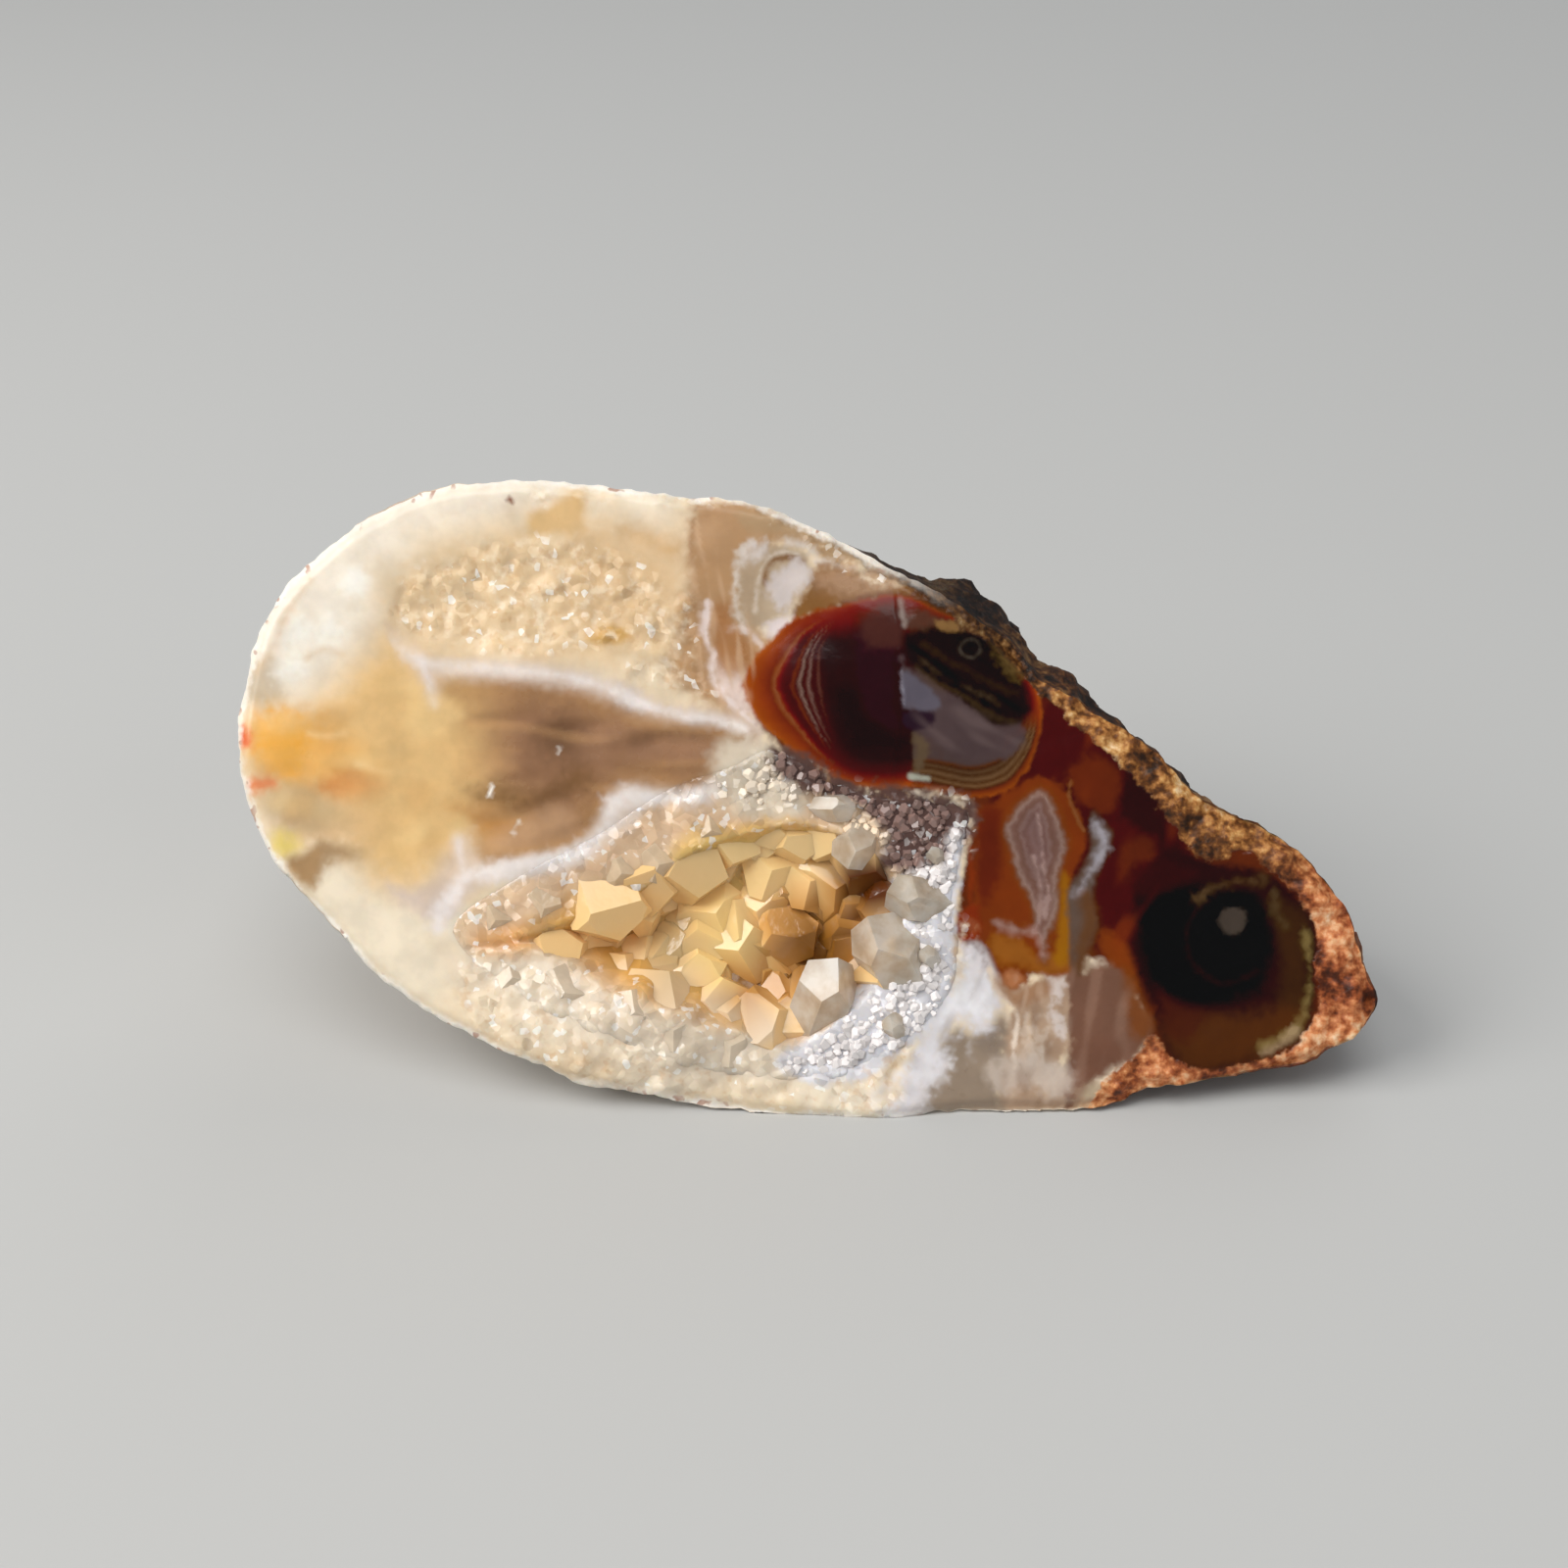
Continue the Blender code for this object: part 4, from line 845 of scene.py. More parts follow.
FOOT_LAYERS = [
    ("patch", (120, 86, 70), (0.25, 0.35), [(11.5, 7.2), (12.3, 6.7), (13, 7.3), (13.9, 6.9), (14.7, 5.6),
     (15.4, 4.6), (15.2, 3.6), (14.2, 2.6), (13, 2), (12, 0.6), (11.2, 0.3), (11.4, 2.4), (11.4, 4.5)]),
    ("patch", (124, 70, 34), (0.35, 0.3, 0.85), [(14.3, 6.8), (14.9, 5.6), (15.5, 4.6), (15, 3.6),
     (14.3, 4.2), (14.2, 5.4)]),
    ("patch", (118, 82, 66), (0.4, 0.5, 0.7), [(12.2, 3.4), (14, 3.6), (14.6, 3), (13.4, 2), (12, 1.6)]),
    ("patch", (172, 152, 126), (0.25, 0.5, 0.8), [(11.9, 1.2), (12.6, 1.8), (13.6, 1.9), (14.6, 2.4),
     (14.2, 1.4), (12.6, 0.3)]),
    ("patch", (178, 150, 126), (0.15, 0.3), [(8.5, 0.2), (8.5, 1.5), (8.8, 2.6), (8.6, 3.6), (8.9, 4.4),
     (9, 5.1), (8.5, 5.7), (8.1, 6.3), (8.6, 6.7), (9.5, 6.2), (10.4, 6.4), (11.2, 6.7), (11.7, 5.5),
     (11.5, 4.3), (11.8, 3.6), (11.3, 2.5), (11.3, 1.2), (11.4, 0.2)]),
    ("patch", (154, 136, 118), (0.3, 0.35), [(4.6, 0), (5.2, 2), (5.8, 3.7), (6.6, 4.4), (7.3, 4),
     (8.1, 4.3), (8.5, 4.8), (8.9, 4.4), (8.6, 3.6), (8.8, 2.6), (8.5, 1.5), (8.6, 0)]),
    ("patch", (140, 124, 110), (0.4, 0.3, 0.7), [(7.6, 3.8), (8.4, 4.4), (8.7, 3.8), (8.5, 3), (7.8, 3)]),
    ("patch", (226, 220, 221), (0.5, 0.55), [(3, 0), (4.2, 2.2), (5, 4), (5.8, 5.2), (6.4, 6.6), (6.6, 8.2),
     (7.4, 8.2), (8, 7), (8.2, 6), (8.7, 5.3), (8.2, 4.9), (8, 4.2), (7.4, 4), (6.9, 4.5), (6.2, 4.1),
     (5.7, 3), (5.2, 1.5), (4.8, 0)]),
]
FAN_RAYS = [(2.6, 0.8), (3.6, 0.6), (4.7, 0.8), (5.6, 1.6), (6.2, 2.6), (7.0, 3.0)]  # outer ends
FAN_LAYERS = [
    ("patch", (246, 244, 246), (0.5, 0.6, 0.7), [(5.6, 4.6), (6.6, 6.4), (7.4, 6.6), (7.9, 5.2), (7.6, 4.4),
     (6.8, 4.8)]),
    ("line", (226, 208, 190), (0.16, 0.09, 0.2), [(8, 6.9), (8.3, 6.1), (8.8, 5.5), (9.3, 4.9), (9.25, 4),
     (9.1, 3.2), (9.3, 2.4)]),
    ("line", (150, 118, 90), (0.14, 0.1, 0.2, 0.7), [(9.6, 4.8), (9.5, 3.8), (9.45, 2.9)]),
    ("line", (206, 176, 146), (0.14, 0.08, 0.2, 0.8), [(9.9, 5), (9.85, 4), (9.9, 3.2), (10.3, 2.7),
     (10.9, 2.8)]),
]
FOOT_RINGS = [                      # centre, then half its width and half its height
    (10.4, 4.3, 0.35, 0.6), (10.4, 4.3, 0.75, 1.1), (10.3, 2.3, 0.45, 0.3), (10.3, 2.3, 0.85, 0.6),
]
STRIPE_LAYERS = [
    ("line", (206, 190, 176), (1.6, 0.4, 0.6, 0.8), [(8.8, 2), (9.8, 2.2), (11, 2)]),
    ("line", (214, 200, 192), (0.36, 0.16, 0.5, 0.95), [(10.8, 6.8), (11.1, 6.2), (11.1, 5.6), (10.9, 5),
     (11.2, 4.4), (11.4, 3.8)]),
]
BIG_EYE_GROUND = [
    ("patch", (158, 76, 24), (0.16, 0.3), [(-3.1, 19.6), (-2.9, 20.6), (-2.3, 21.4), (-1.6, 22.1),
     (-0.8, 22.7), (0.2, 23.1), (1.2, 23.3), (2.3, 23.6), (3.6, 23.8), (4.6, 23.6), (5.6, 23.1), (7.4, 22.2),
     (9, 20.9), (9.9, 19.6), (10.2, 18.4), (10.1, 17.2), (9.7, 16), (8.9, 15.1), (7.5, 14.7), (6, 14.9),
     (4.6, 15.2), (3, 15.1), (1.6, 15.3), (0.5, 15.8), (-0.8, 16.7), (-1.9, 17.6), (-2.7, 18.5)]),
]

# Bands of the eyes: how far in from the rim, and the colour there
LEFT_BANDS = [
    (0.0, (172, 90, 34)), (0.06, (152, 70, 22)), (0.2, (132, 54, 14)), (0.3, (112, 42, 12)),
    (0.36, (134, 76, 44)), (0.39, (120, 34, 14)), (0.45, (78, 14, 10)), (0.52, (66, 12, 10)),
    (0.56, (104, 46, 24)), (0.6, (70, 22, 14)), (0.635, (124, 98, 88)), (0.665, (64, 24, 16)),
    (0.7, (72, 28, 20)), (0.735, (116, 88, 80)), (0.77, (66, 26, 20)), (0.83, (62, 20, 16)),
    (0.86, (106, 68, 58)), (0.9, (52, 12, 12)), (1.0, (46, 9, 10)),
]
RIGHT_BANDS = [
    (0.0, (144, 72, 24)), (0.14, (116, 50, 12)), (0.24, (76, 38, 14)), (0.34, (112, 82, 54)),
    (0.42, (78, 48, 26)), (0.54, (108, 80, 54)), (0.66, (72, 44, 24)), (0.74, (94, 68, 46)),
    (0.84, (66, 36, 16)), (0.88, (90, 48, 14)), (1.0, (82, 66, 64)),
]
CALM_BANDS = [
    (0.0, (168, 86, 32)), (0.2, (136, 50, 14)), (0.36, (112, 34, 10)), (0.55, (78, 18, 10)),
    (1.0, (44, 9, 10)),
]
BIG_EYE_LAYERS = [
    ("patch", (48, 22, 30), (0.4, 0.3), [(1.9, 22.6), (3, 22.9), (3.9, 23), (4, 21), (3.9, 19), (4.2, 18.4),
     (4.3, 17.7), (3.2, 17.4), (2.4, 18), (1.9, 19.4), (1.8, 21)]),
    ("patch", (80, 46, 40), (0.4, 0.3, 0.9), [(1.9, 22.5), (2.6, 23.2), (3.9, 23.3), (4.1, 22.2),
     (3.9, 21.4), (2.6, 21.6)]),
    ("patch", (36, 14, 12), (0.3, 0.3, 0.9), [(1.1, 19.6), (1.9, 19.6), (2.4, 18.4), (3.6, 17.6),
     (4.3, 17.2), (3.4, 16.9), (2, 17), (1.4, 18)]),
    ("patch", (34, 22, 14), (0.2, 0.25), [(4.1, 21.9), (4.8, 22.4), (5.8, 22.6), (6.8, 22.3), (7.8, 21.9),
     (8.8, 21), (9.4, 19.9), (9.8, 18.8), (9.2, 18.1), (8.2, 18), (7.2, 18.6), (6.2, 19.4), (5.2, 20),
     (4.4, 20.8)]),
    ("patch", (86, 58, 46), (0.25, 0.3, 0.85), [(4.2, 22.9), (5.2, 23.1), (6.2, 22.6), (5.4, 22.3),
     (4.3, 22.2)]),
    ("patch", (136, 102, 62), (0.12, 0.25), [(5.5, 22.7), (6.2, 22.6), (7, 22.7), (7, 22.4), (6.4, 22.2),
     (5.6, 22.3)]),
    # Grey of the eye, partly its own grey band and partly a painted reflection of the sky on its swell.
    ("patch", (84, 68, 68), (0.16, 0.25), [(3.85, 21.4), (4.2, 20.8), (4.9, 20.2), (5.6, 19.7), (6.6, 19.2),
     (7.4, 18.5), (8.2, 17.9), (9.2, 17.9), (9.7, 17.8), (9.3, 16.9), (8.6, 16.4), (7.4, 16.4), (6, 16.9),
     (5.2, 17.4), (4.7, 17.8), (5.2, 18.2), (5.4, 18.6), (4.6, 18.7), (4, 18.7), (3.9, 19.8)]),
    # Painted reflection: a lavender-grey patch stands for the sky seen in the glossy chip beside the eye's
    # step.
    ("patch", (96, 90, 100), (0.14, 0.2), [(3.95, 20.2), (4.02, 18.8), (4.6, 18.65), (5.3, 18.6),
     (5.7, 18.9), (5.3, 19.5), (4.8, 19.9), (4.4, 20.4)]),
    ("patch", (48, 32, 42), (0.15, 0.2), [(4, 18.6), (5, 18.5), (5.5, 18.4), (5.2, 17.9), (4.5, 17.7),
     (4.1, 17.9)]),
    ("patch", (100, 82, 62), (0.15, 0.2, 0.9), [(4.5, 17.6), (5.2, 17.2), (5.3, 16.6), (5, 16), (4.55, 16),
     (4.6, 16.8)]),
    ("line", (84, 68, 52), (0.16, 0.2, 0.3, 0.6), [(4.9, 20.9), (5.9, 20.1), (7, 19.6), (7.6, 19.4),
     (8.4, 18.9)]),
    ("line", (78, 60, 40), (0.24, 0.25, 0.3, 0.6), [(4.6, 20.5), (5.6, 19.85), (6.8, 19.3), (7.9, 18.5),
     (9, 18.2)]),
    ("line", (66, 48, 30), (0.22, 0.25, 0.3, 0.55), [(5, 21.6), (5.9, 21), (7, 20.4), (8.2, 19.8),
     (9.2, 19.4)]),
    ("line", (112, 104, 94), (0.1, 0.1, 0.1, 0.4), [(7.55, 21.5), (7.35, 21.8), (6.95, 21.8), (6.65, 21.5),
     (6.75, 21.15), (7.15, 21), (7.5, 21.2), (7.55, 21.5)]),
    ("patch", (104, 82, 46), (0.3, 0.5, 0.85), [(8.2, 22), (9, 21.8), (9.6, 21), (9.6, 20.2), (8.9, 20.3),
     (8.4, 21)]),
    # Painted highlights: two pale strokes along the small step in the eye stand for light caught on its
    # edge.
    ("line", (172, 158, 148), (0.14, 0.16, 0.15, 0.6), [(3.95, 23.6), (4, 23), (4.15, 22.4)]),
    ("line", (150, 146, 158), (0.12, 0.12, 0.15, 0.7), [(3.98, 20.6), (4, 19.8), (4.1, 18.9)]),
    ("line", (176, 178, 162), (0.3, 0.1, 0.1, 0.9), [(4.45, 15.65), (4.8, 15.6), (5.2, 15.55)]),
    ("streaks", (112, 94, 92), (-25.0, (2.6, 0.6), 97.0, 0.0, 0.5, 0.6), [(4, 20.6), (7, 18.8), (9.4, 17.8),
     (9.2, 16.8), (6, 16.9), (4.8, 17.8)]),
    ("streaks", (10, 6, 6), (-30.0, (3.0, 0.5), 93.0, 0.0, 0.5, 0.7), [(4.4, 21.8), (8, 21.6), (9.6, 18.8),
     (8, 18.2), (5.2, 20)]),
]
SECOND_EYE_LAYERS = [
    ("patch", (124, 56, 16), (0.16, 0.25), [(8.2, 14.4), (8.8, 14.9), (9.6, 15.4), (10.3, 15.6),
     (11.2, 15.3), (11.8, 14.4), (12.3, 13.4), (12.3, 12.2), (11.8, 11), (11.6, 9.8), (11.7, 8.4),
     (11.7, 7.1), (11, 6.7), (10, 6.9), (9.6, 6.1), (8.9, 6), (8.5, 6.8), (8, 7.9), (7.5, 8.2), (6.7, 8.2),
     (6.5, 8.8), (6.7, 9.5), (7.2, 10), (7.35, 11), (7.3, 12.2), (7.3, 13.2), (7.5, 14.2)]),
    ("patch", (98, 38, 10), (0.35, 0.3, 0.9), [(7.4, 14), (8.4, 14.2), (8.6, 12.6), (8.3, 10.6), (7.8, 9.8),
     (7.5, 10.4), (7.5, 12)]),
    ("patch", (152, 92, 36), (0.35, 0.35, 0.95), [(8.2, 8.2), (9.6, 8.3), (10.4, 7.4), (11.6, 8),
     (11.6, 7.1), (10.6, 6.8), (9.4, 7), (8.5, 7.3)]),
    ("patch", (158, 104, 22), (0.2, 0.2, 0.85), [(11.1, 11.2), (11.6, 11.2), (11.7, 9.4), (11.6, 7.4),
     (11, 7.4), (11.2, 9.2)]),
    ("patch", (134, 50, 20), (0.16, 0.2, 0.95), [(6.45, 9.2), (6.9, 9.7), (7.5, 9.9), (7.6, 9.2), (7.6, 8.5),
     (7.1, 8.1), (6.6, 8.2)]),
    ("patch", (146, 76, 48), (0.15, 0.2, 0.9), [(6.85, 9), (7.2, 9.3), (7.6, 8.8), (7.3, 8.5), (6.95, 8.6)]),
    ("line", (136, 54, 24), (0.25, 0.15, 0.25, 0.8), [(7, 13.3), (7.15, 12.2), (7.2, 11), (7.1, 10)]),
    ("patch", (180, 118, 78), (0.2, 0.2), [(8.75, 6.75), (9.3, 6.8), (9.6, 6.4), (9.2, 6), (8.8, 6.2)]),
    ("patch", (156, 112, 78), (0.25, 0.3, 0.7), [(8.3, 6.4), (9.1, 5.9), (10.2, 6.4), (10.8, 6.2),
     (10.4, 5.4), (9.4, 5.1), (8.8, 5.6)]),
]
HEART_BANDS = [
    (0.0, (122, 66, 36)), (0.15, (122, 86, 68)), (0.3, (146, 120, 110)), (0.45, (122, 92, 82)),
    (0.62, (112, 82, 72)), (0.78, (130, 104, 98)), (0.95, (112, 84, 78)), (1.2, (124, 98, 94)),
    (1.45, (112, 86, 80)), (1.8, (124, 98, 92)),
]
HEART_LAYERS = [
    ("line", (180, 152, 144), (0.1, 0.12, 0.2, 0.6), [(10.2, 13.9), (10.4, 12.6), (10.5, 11.4), (10.7, 10.4),
     (10.5, 9.2)]),
    ("line", (174, 146, 138), (0.1, 0.12, 0.15, 0.6), [(10, 12), (10.3, 11), (10.35, 10), (10.3, 9)]),
    ("patch", (168, 128, 118), (0.25, 0.3, 0.6), [(8.4, 9), (9.2, 8.8), (10.2, 8.9), (10.6, 8), (10.4, 7.4),
     (9.9, 8.2), (9, 8.5)]),
    ("patch", (98, 80, 70), (0.2, 0.15), [(12.7, 14), (13, 13.6), (13.5, 13.3), (13.6, 12.9), (13.4, 12.2),
     (13, 11.4), (12.8, 10.6), (12.7, 9.9), (12.9, 9.1), (12.7, 8.3), (12.4, 7.5), (12.1, 6.7), (11.7, 7.4),
     (11.7, 8.6), (11.6, 9.6), (11.65, 10.6), (12, 11.2), (12.4, 11.8), (12.7, 12.5), (12.6, 13.2)]),
    ("line", (176, 172, 180), (0.36, 0.25, 0.3, 0.75), [(12.9, 13.4), (13.3, 12.6), (12.9, 11.8),
     (12.5, 11.2), (12.1, 10.4)]),
    ("line", (104, 66, 36), (0.7, 0.3, 0.2, 0.8), [(12.4, 10.2), (12.6, 9), (12.3, 8), (12.3, 7)]),
    ("line", (140, 88, 52), (0.14, 0.08, 0.15, 0.8), [(11.7, 15.5), (11.6, 14.8), (11.9, 13.9),
     (12.3, 13.2)]),
]
THIRD_EYE_LAYERS = [
    ("patch", (46, 24, 15), (0.22, 0.3), [(14.6, 10.3), (15.2, 11.6), (16.2, 12.2), (17.4, 12.1),
     (18.5, 11.7), (19.7, 11.6), (21, 11.1), (22.2, 10.2), (22.9, 8.8), (22.95, 7), (22.8, 5.2), (22.5, 4),
     (21.2, 3.2), (19.8, 2.6), (18.5, 2.2), (17, 2.3), (16.1, 3), (15.7, 4), (15.3, 5.2), (14.8, 6.5),
     (14.5, 8)]),
    ("patch", (88, 50, 22), (0.6, 0.4, 0.85), [(15.9, 4.4), (17.2, 5), (19, 4.8), (20.8, 5), (22.2, 5.8),
     (22.5, 4.4), (20.8, 3.1), (19, 2.4), (16.9, 2.5)]),
    ("patch", (78, 36, 18), (0.4, 0.4, 0.8), [(15.6, 6.2), (16.8, 5.6), (18, 4.9), (17, 3.8), (15.9, 4.2)]),
    ("patch", (66, 42, 20), (0.45, 0.3, 0.85), [(20.9, 10.2), (22.4, 9.4), (22.6, 7), (22.2, 5.2),
     (21.2, 5.6), (21.2, 7.6), (20.7, 9.2)]),
    ("patch", (11, 7, 7), (0.5, 0.4), [(14.9, 9.9), (16.4, 10.6), (18, 10.6), (19.8, 10.3), (20.7, 9),
     (20.8, 7.4), (20.1, 6.1), (18.6, 5.3), (17, 5.2), (15.8, 5.8), (15.2, 7), (14.9, 8.6)]),
    ("patch", (58, 16, 9), (0.3, 0.3, 0.8), [(14.4, 11.4), (15.6, 11.9), (16.9, 11.6), (17.6, 11.2),
     (16.4, 10.6), (15, 10.2)]),
    ("line", (110, 84, 56), (0.3, 0.3, 0.5, 0.6), [(17.5, 10), (18.1, 10.5), (19.2, 10.85), (20.4, 11)]),
    ("line", (148, 128, 78), (0.2, 0.2, 0.3, 0.6), [(22.4, 8.6), (22.6, 7), (22.5, 5.6), (22.3, 4.7),
     (21.8, 4.1), (21.1, 3.7), (20.4, 3.4)]),
    ("line", (176, 150, 116), (0.22, 0.2, 0.3, 0.6), [(21.9, 4.1), (21.3, 3.5), (20.6, 3.1)]),
    ("line", (86, 68, 46), (0.3, 0.2, 0.3, 0.7), [(21, 10.4), (21, 9.6), (21.4, 8.9)]),
    # Painted reflection: a small grey patch stands for a window seen in the glossy dark eye.
    ("patch", (78, 68, 60), (0.1, 0.1, 0.9), [(18.6, 9.5), (19.2, 9.7), (19.7, 9.3), (19.6, 8.6), (19, 8.4),
     (18.5, 8.9)]),
    ("line", (50, 34, 24), (0.24, 0.2, 0.2, 0.7), [(17.6, 9.8), (17, 8.6), (17.4, 7), (18.8, 6.2),
     (20.2, 6.8)]),
]
CORE_PLACE = [
    (-15.5, 19.6), (-9, 19), (-2.8, 17.8), (-3.4, 16.2), (-8.6, 15), (-11, 12.6), (-14.8, 12), (-15.8, 14),
]
HONEY_PLACE = [
    (-25, 18.6), (-18, 20), (-15, 17), (-16, 12.6), (-21, 12.6), (-24.8, 14),
]
STRIPED_PLACE = [
    (8.7, 0.2), (8.8, 6), (11.4, 6.2), (11.4, 0.2),
]
STREAK_LAYERS = [
    ("streaks", (128, 54, 16), (65.0, (3.0, 0.9), 95.0, 0.1, 0.6, 0.6), [(9.6, 19.4), (12.6, 18),
     (16.6, 13.6), (15.4, 9.4), (13.6, 8), (13.2, 13.8), (9, 15.2)]),
    ("streaks", (112, 80, 56), (8.0, (4.0, 0.9), 80.0, 0.0, 0.6, 0.35), CORE_PLACE),
    ("streaks", (206, 160, 110), (-6.0, (3.6, 0.8), 84.0, 0.1, 0.6, 0.3), CORE_PLACE),
    ("streaks", (240, 208, 150), (6.0, (3.4, 1.4), 88.0, 0.0, 0.6, 0.5), HONEY_PLACE),
    ("streaks", (198, 150, 92), (20.0, (2.6, 1.2), 90.0, 0.1, 0.6, 0.3), HONEY_PLACE),
    ("streaks", (178, 168, 164), (58.0, (2.0, 0.4), 92.0, 0.1, 0.7, 0.5), [(3.4, 0.2), (5.4, 4.4), (6.6, 8),
     (8.4, 6), (8, 4.2), (6.4, 4), (5, 0.2)]),
    ("streaks", (126, 96, 76), (86.0, (1.6, 0.5), 94.0, 0.0, 0.6, 0.4), STRIPED_PLACE),
    ("streaks", (206, 182, 160), (88.0, (1.4, 0.4), 96.0, 0.1, 0.6, 0.5), STRIPED_PLACE),
    ("streaks", (150, 116, 98), (80.0, (2.4, 0.7), 99.0, 0.0, 0.6, 0.5), [(11.5, 0.6), (11.6, 6.8),
     (14.4, 6.4), (15.2, 3.8), (13, 1.6)]),
    ("streaks", (206, 170, 136), (100.0, (2.0, 0.3), 98.0, 0.0, 0.5, 0.6), [(-5.6, 27.6), (-2.6, 22),
     (-3.2, 18.6), (-5.6, 19.6), (-5.8, 23)]),
]
CRUST_LAYERS = [
    ("patch", (232, 214, 190), (0.6, 0.5), [(-16.6, 7.6), (-12.4, 7.9), (-9.2, 6.4), (-4, 4.6), (-1.6, 3.8),
     (0.4, 2.2), (-4.2, 1.6), (-9.4, 3.2), (-13.6, 5.2)]),
    ("patch", (216, 200, 178), (0.4, 0.5), [(-4.4, 16.8), (-2, 17.4), (-0.6, 15.4), (-0.4, 14), (-2.2, 13.6),
     (-4, 14.2)]),
    ("patch", (226, 160, 84), (0.4, 0.4, 0.8), [(-15.4, 8.4), (-13.4, 8.9), (-12.6, 8.2), (-13.8, 7.6),
     (-15.2, 7.8)]),
    ("patch", (222, 170, 96), (0.5, 0.4), [(-12.8, 8.4), (-10.6, 10.4), (-7, 11.2), (-5.6, 12.6), (-3, 13.4),
     (0.6, 13.2), (1.6, 11.6), (3, 9.8), (2.2, 8), (0.6, 6.4), (-1, 4.4), (-3.2, 4.3), (-6, 5.2),
     (-8.8, 6.2), (-10.6, 7.4)]),
    ("patch", (240, 200, 122), (0.5, 0.5), [(-6, 12.4), (-3, 13.2), (0.2, 13), (0.6, 11.4), (-1.6, 10.9),
     (-3, 9.4), (-5.8, 10)]),
    ("patch", (146, 102, 46), (0.4, 0.4), [(-2.6, 9.9), (-0.6, 10.6), (2.4, 10.4), (3.4, 9.6), (2, 7.8),
     (0.2, 6.6), (-1.2, 5.6), (-3.8, 5.8), (-4.4, 6.4), (-2.6, 7.4), (-3, 8.8)]),
    ("patch", (78, 48, 26), (0.3, 0.4, 0.9), [(1, 11.2), (2.6, 11.4), (3.6, 10.4), (3.2, 9.2), (2.2, 9.6),
     (1.2, 9.8)]),
    ("patch", (190, 160, 116), (0.3, 0.4, 0.8), [(-7.5, 8), (-6.6, 9.2), (-5.8, 8.9), (-5.6, 7.2),
     (-6.2, 6.6), (-7.3, 7)]),
    ("patch", (96, 72, 66), (0.3, 0.5), [(-2.2, 17.2), (-0.8, 16.9), (1, 15.9), (3.2, 15.1), (5.6, 15),
     (7.4, 14.4), (7.2, 12.8), (6.2, 11.9), (4.6, 11.2), (3, 11.4), (3.2, 13), (1.9, 14.2), (0, 14.8),
     (-1.4, 15.6)]),
    ("patch", (228, 224, 226), (0.2, 0.3), [(6.3, 13.2), (6.7, 12.9), (6.8, 11.6), (6.5, 10), (6.5, 8),
     (6, 5.2), (3.6, 2.8), (0.6, 1.6), (-1.6, 2.8), (0.6, 4.2), (1.6, 5.6), (3, 7.4), (3.6, 9), (3.4, 10.8),
     (4.8, 11.4), (6, 11.9)]),
]

# colour of the painted highlights on the core's chips
GLINT_WHITE = (252, 246, 236)
FAN_WHITE = (238, 234, 236)
FAN_ROOT = (7.8, 6.2)               # where the fan's rays start
FAN_BEND = (7.6, 5.4)               # half-way from here to its end a ray bends
FAN_BOW = 0.3                       # how far it bows upwards there
RING_COLOUR = (216, 200, 184)
RING_TURNS = np.arange(0.0, 7.0, 0.8)  # angles of the points of a ring
BAND_WANDER = 0.03                  # of the big eye's bands, over its width
CALM_FROM_TO = (-0.4, 1.2)          # x over which they lose their contrast
EYE_STEP_BANDS = (4.45, 4.6)        # x of the step beyond which they are dark
EYE_STEP_TOP = (-18.8, -17.4)       # down from here, minus y
EYE_RED = (122, 34, 12)             # of the eye's upper edge
RED_STRENGTH = 0.75
RED_FROM_TO = (21.6, 23.0)          # y over which it comes in


def lay_foot(stain):
    """Lay the feathery white fan and the striped column with its rings at the foot of the face."""
    for x, y in FAN_RAYS:
        middle = (0.5 * (FAN_BEND[0] + x), 0.5 * (FAN_BEND[1] + y) + FAN_BOW)
        stain.line(FAN_WHITE, [FAN_ROOT, middle, (x, y)], 0.3, 0.3, 0.5, 0.6)
    stain.lay_all(FAN_LAYERS)
    for x, y, half_width, half_height in FOOT_RINGS:
        ring = [(x + half_width * math.cos(turn), y + half_height * math.sin(turn)) for turn in RING_TURNS]
        stain.line(RING_COLOUR, ring, 0.14, 0.16, 0.5, 0.5)
    stain.lay_all(STRIPE_LAYERS)


def lay_big_eye(stain):
    """Lay the bands of the big eye, evenly between its rim and its heart, and what lies over them."""
    stain.lay_all(BIG_EYE_GROUND)
    eye_rim = smooth_line(EYE_RIM, PATCH_STEP)
    near = stain.near(eye_rim)
    in_eye = stain.flat[near]
    in_rim = distance_inside(in_eye, eye_rim)
    out_of_heart = np.maximum(-distance_inside(in_eye, smooth_line(EYE_HEART, PATCH_STEP)), 0.0)
    across = in_rim / np.maximum(in_rim + out_of_heart, 0.02) + BAND_WANDER * stain.wander[near]
    left_bands, right_bands, calm_bands = (
        colours_at(across, stops) for stops in (LEFT_BANDS, RIGHT_BANDS, CALM_BANDS))
    calm_share = ease(in_eye[:, 0] + 0.2 * stain.wander[near], *CALM_FROM_TO)
    left_bands += calm_share[:, None] * (calm_bands - left_bands)
    right_share = ease(in_eye[:, 0] + 0.05 * stain.wander[near], *EYE_STEP_BANDS)
    right_share = right_share * ease(-in_eye[:, 1], *EYE_STEP_TOP)
    bands = left_bands + right_share[:, None] * (right_bands - left_bands)
    red_share = RED_STRENGTH * ease(in_eye[:, 1], *RED_FROM_TO)
    bands += red_share[:, None] * (linear(EYE_RED) - bands)
    stain.lay(bands, near, in_rim, 0.1, 0.12, 1.0)
    stain.lay_all(BIG_EYE_LAYERS)


def lay_second_eye(stain):
    """Lay the second eye, with a lavender heart whose bands follow its outline."""
    stain.lay_all(SECOND_EYE_LAYERS)
    heart = smooth_line(SECOND_HEART, LINE_STEP)
    near = stain.near(heart)
    in_heart = distance_inside(stain.flat[near], heart)
    bands = colours_at(in_heart + 0.2 * stain.wander[near], HEART_BANDS)
    stain.lay(bands, near, in_heart, 0.28, 0.2, 0.95)
    stain.lay_all(HEART_LAYERS)


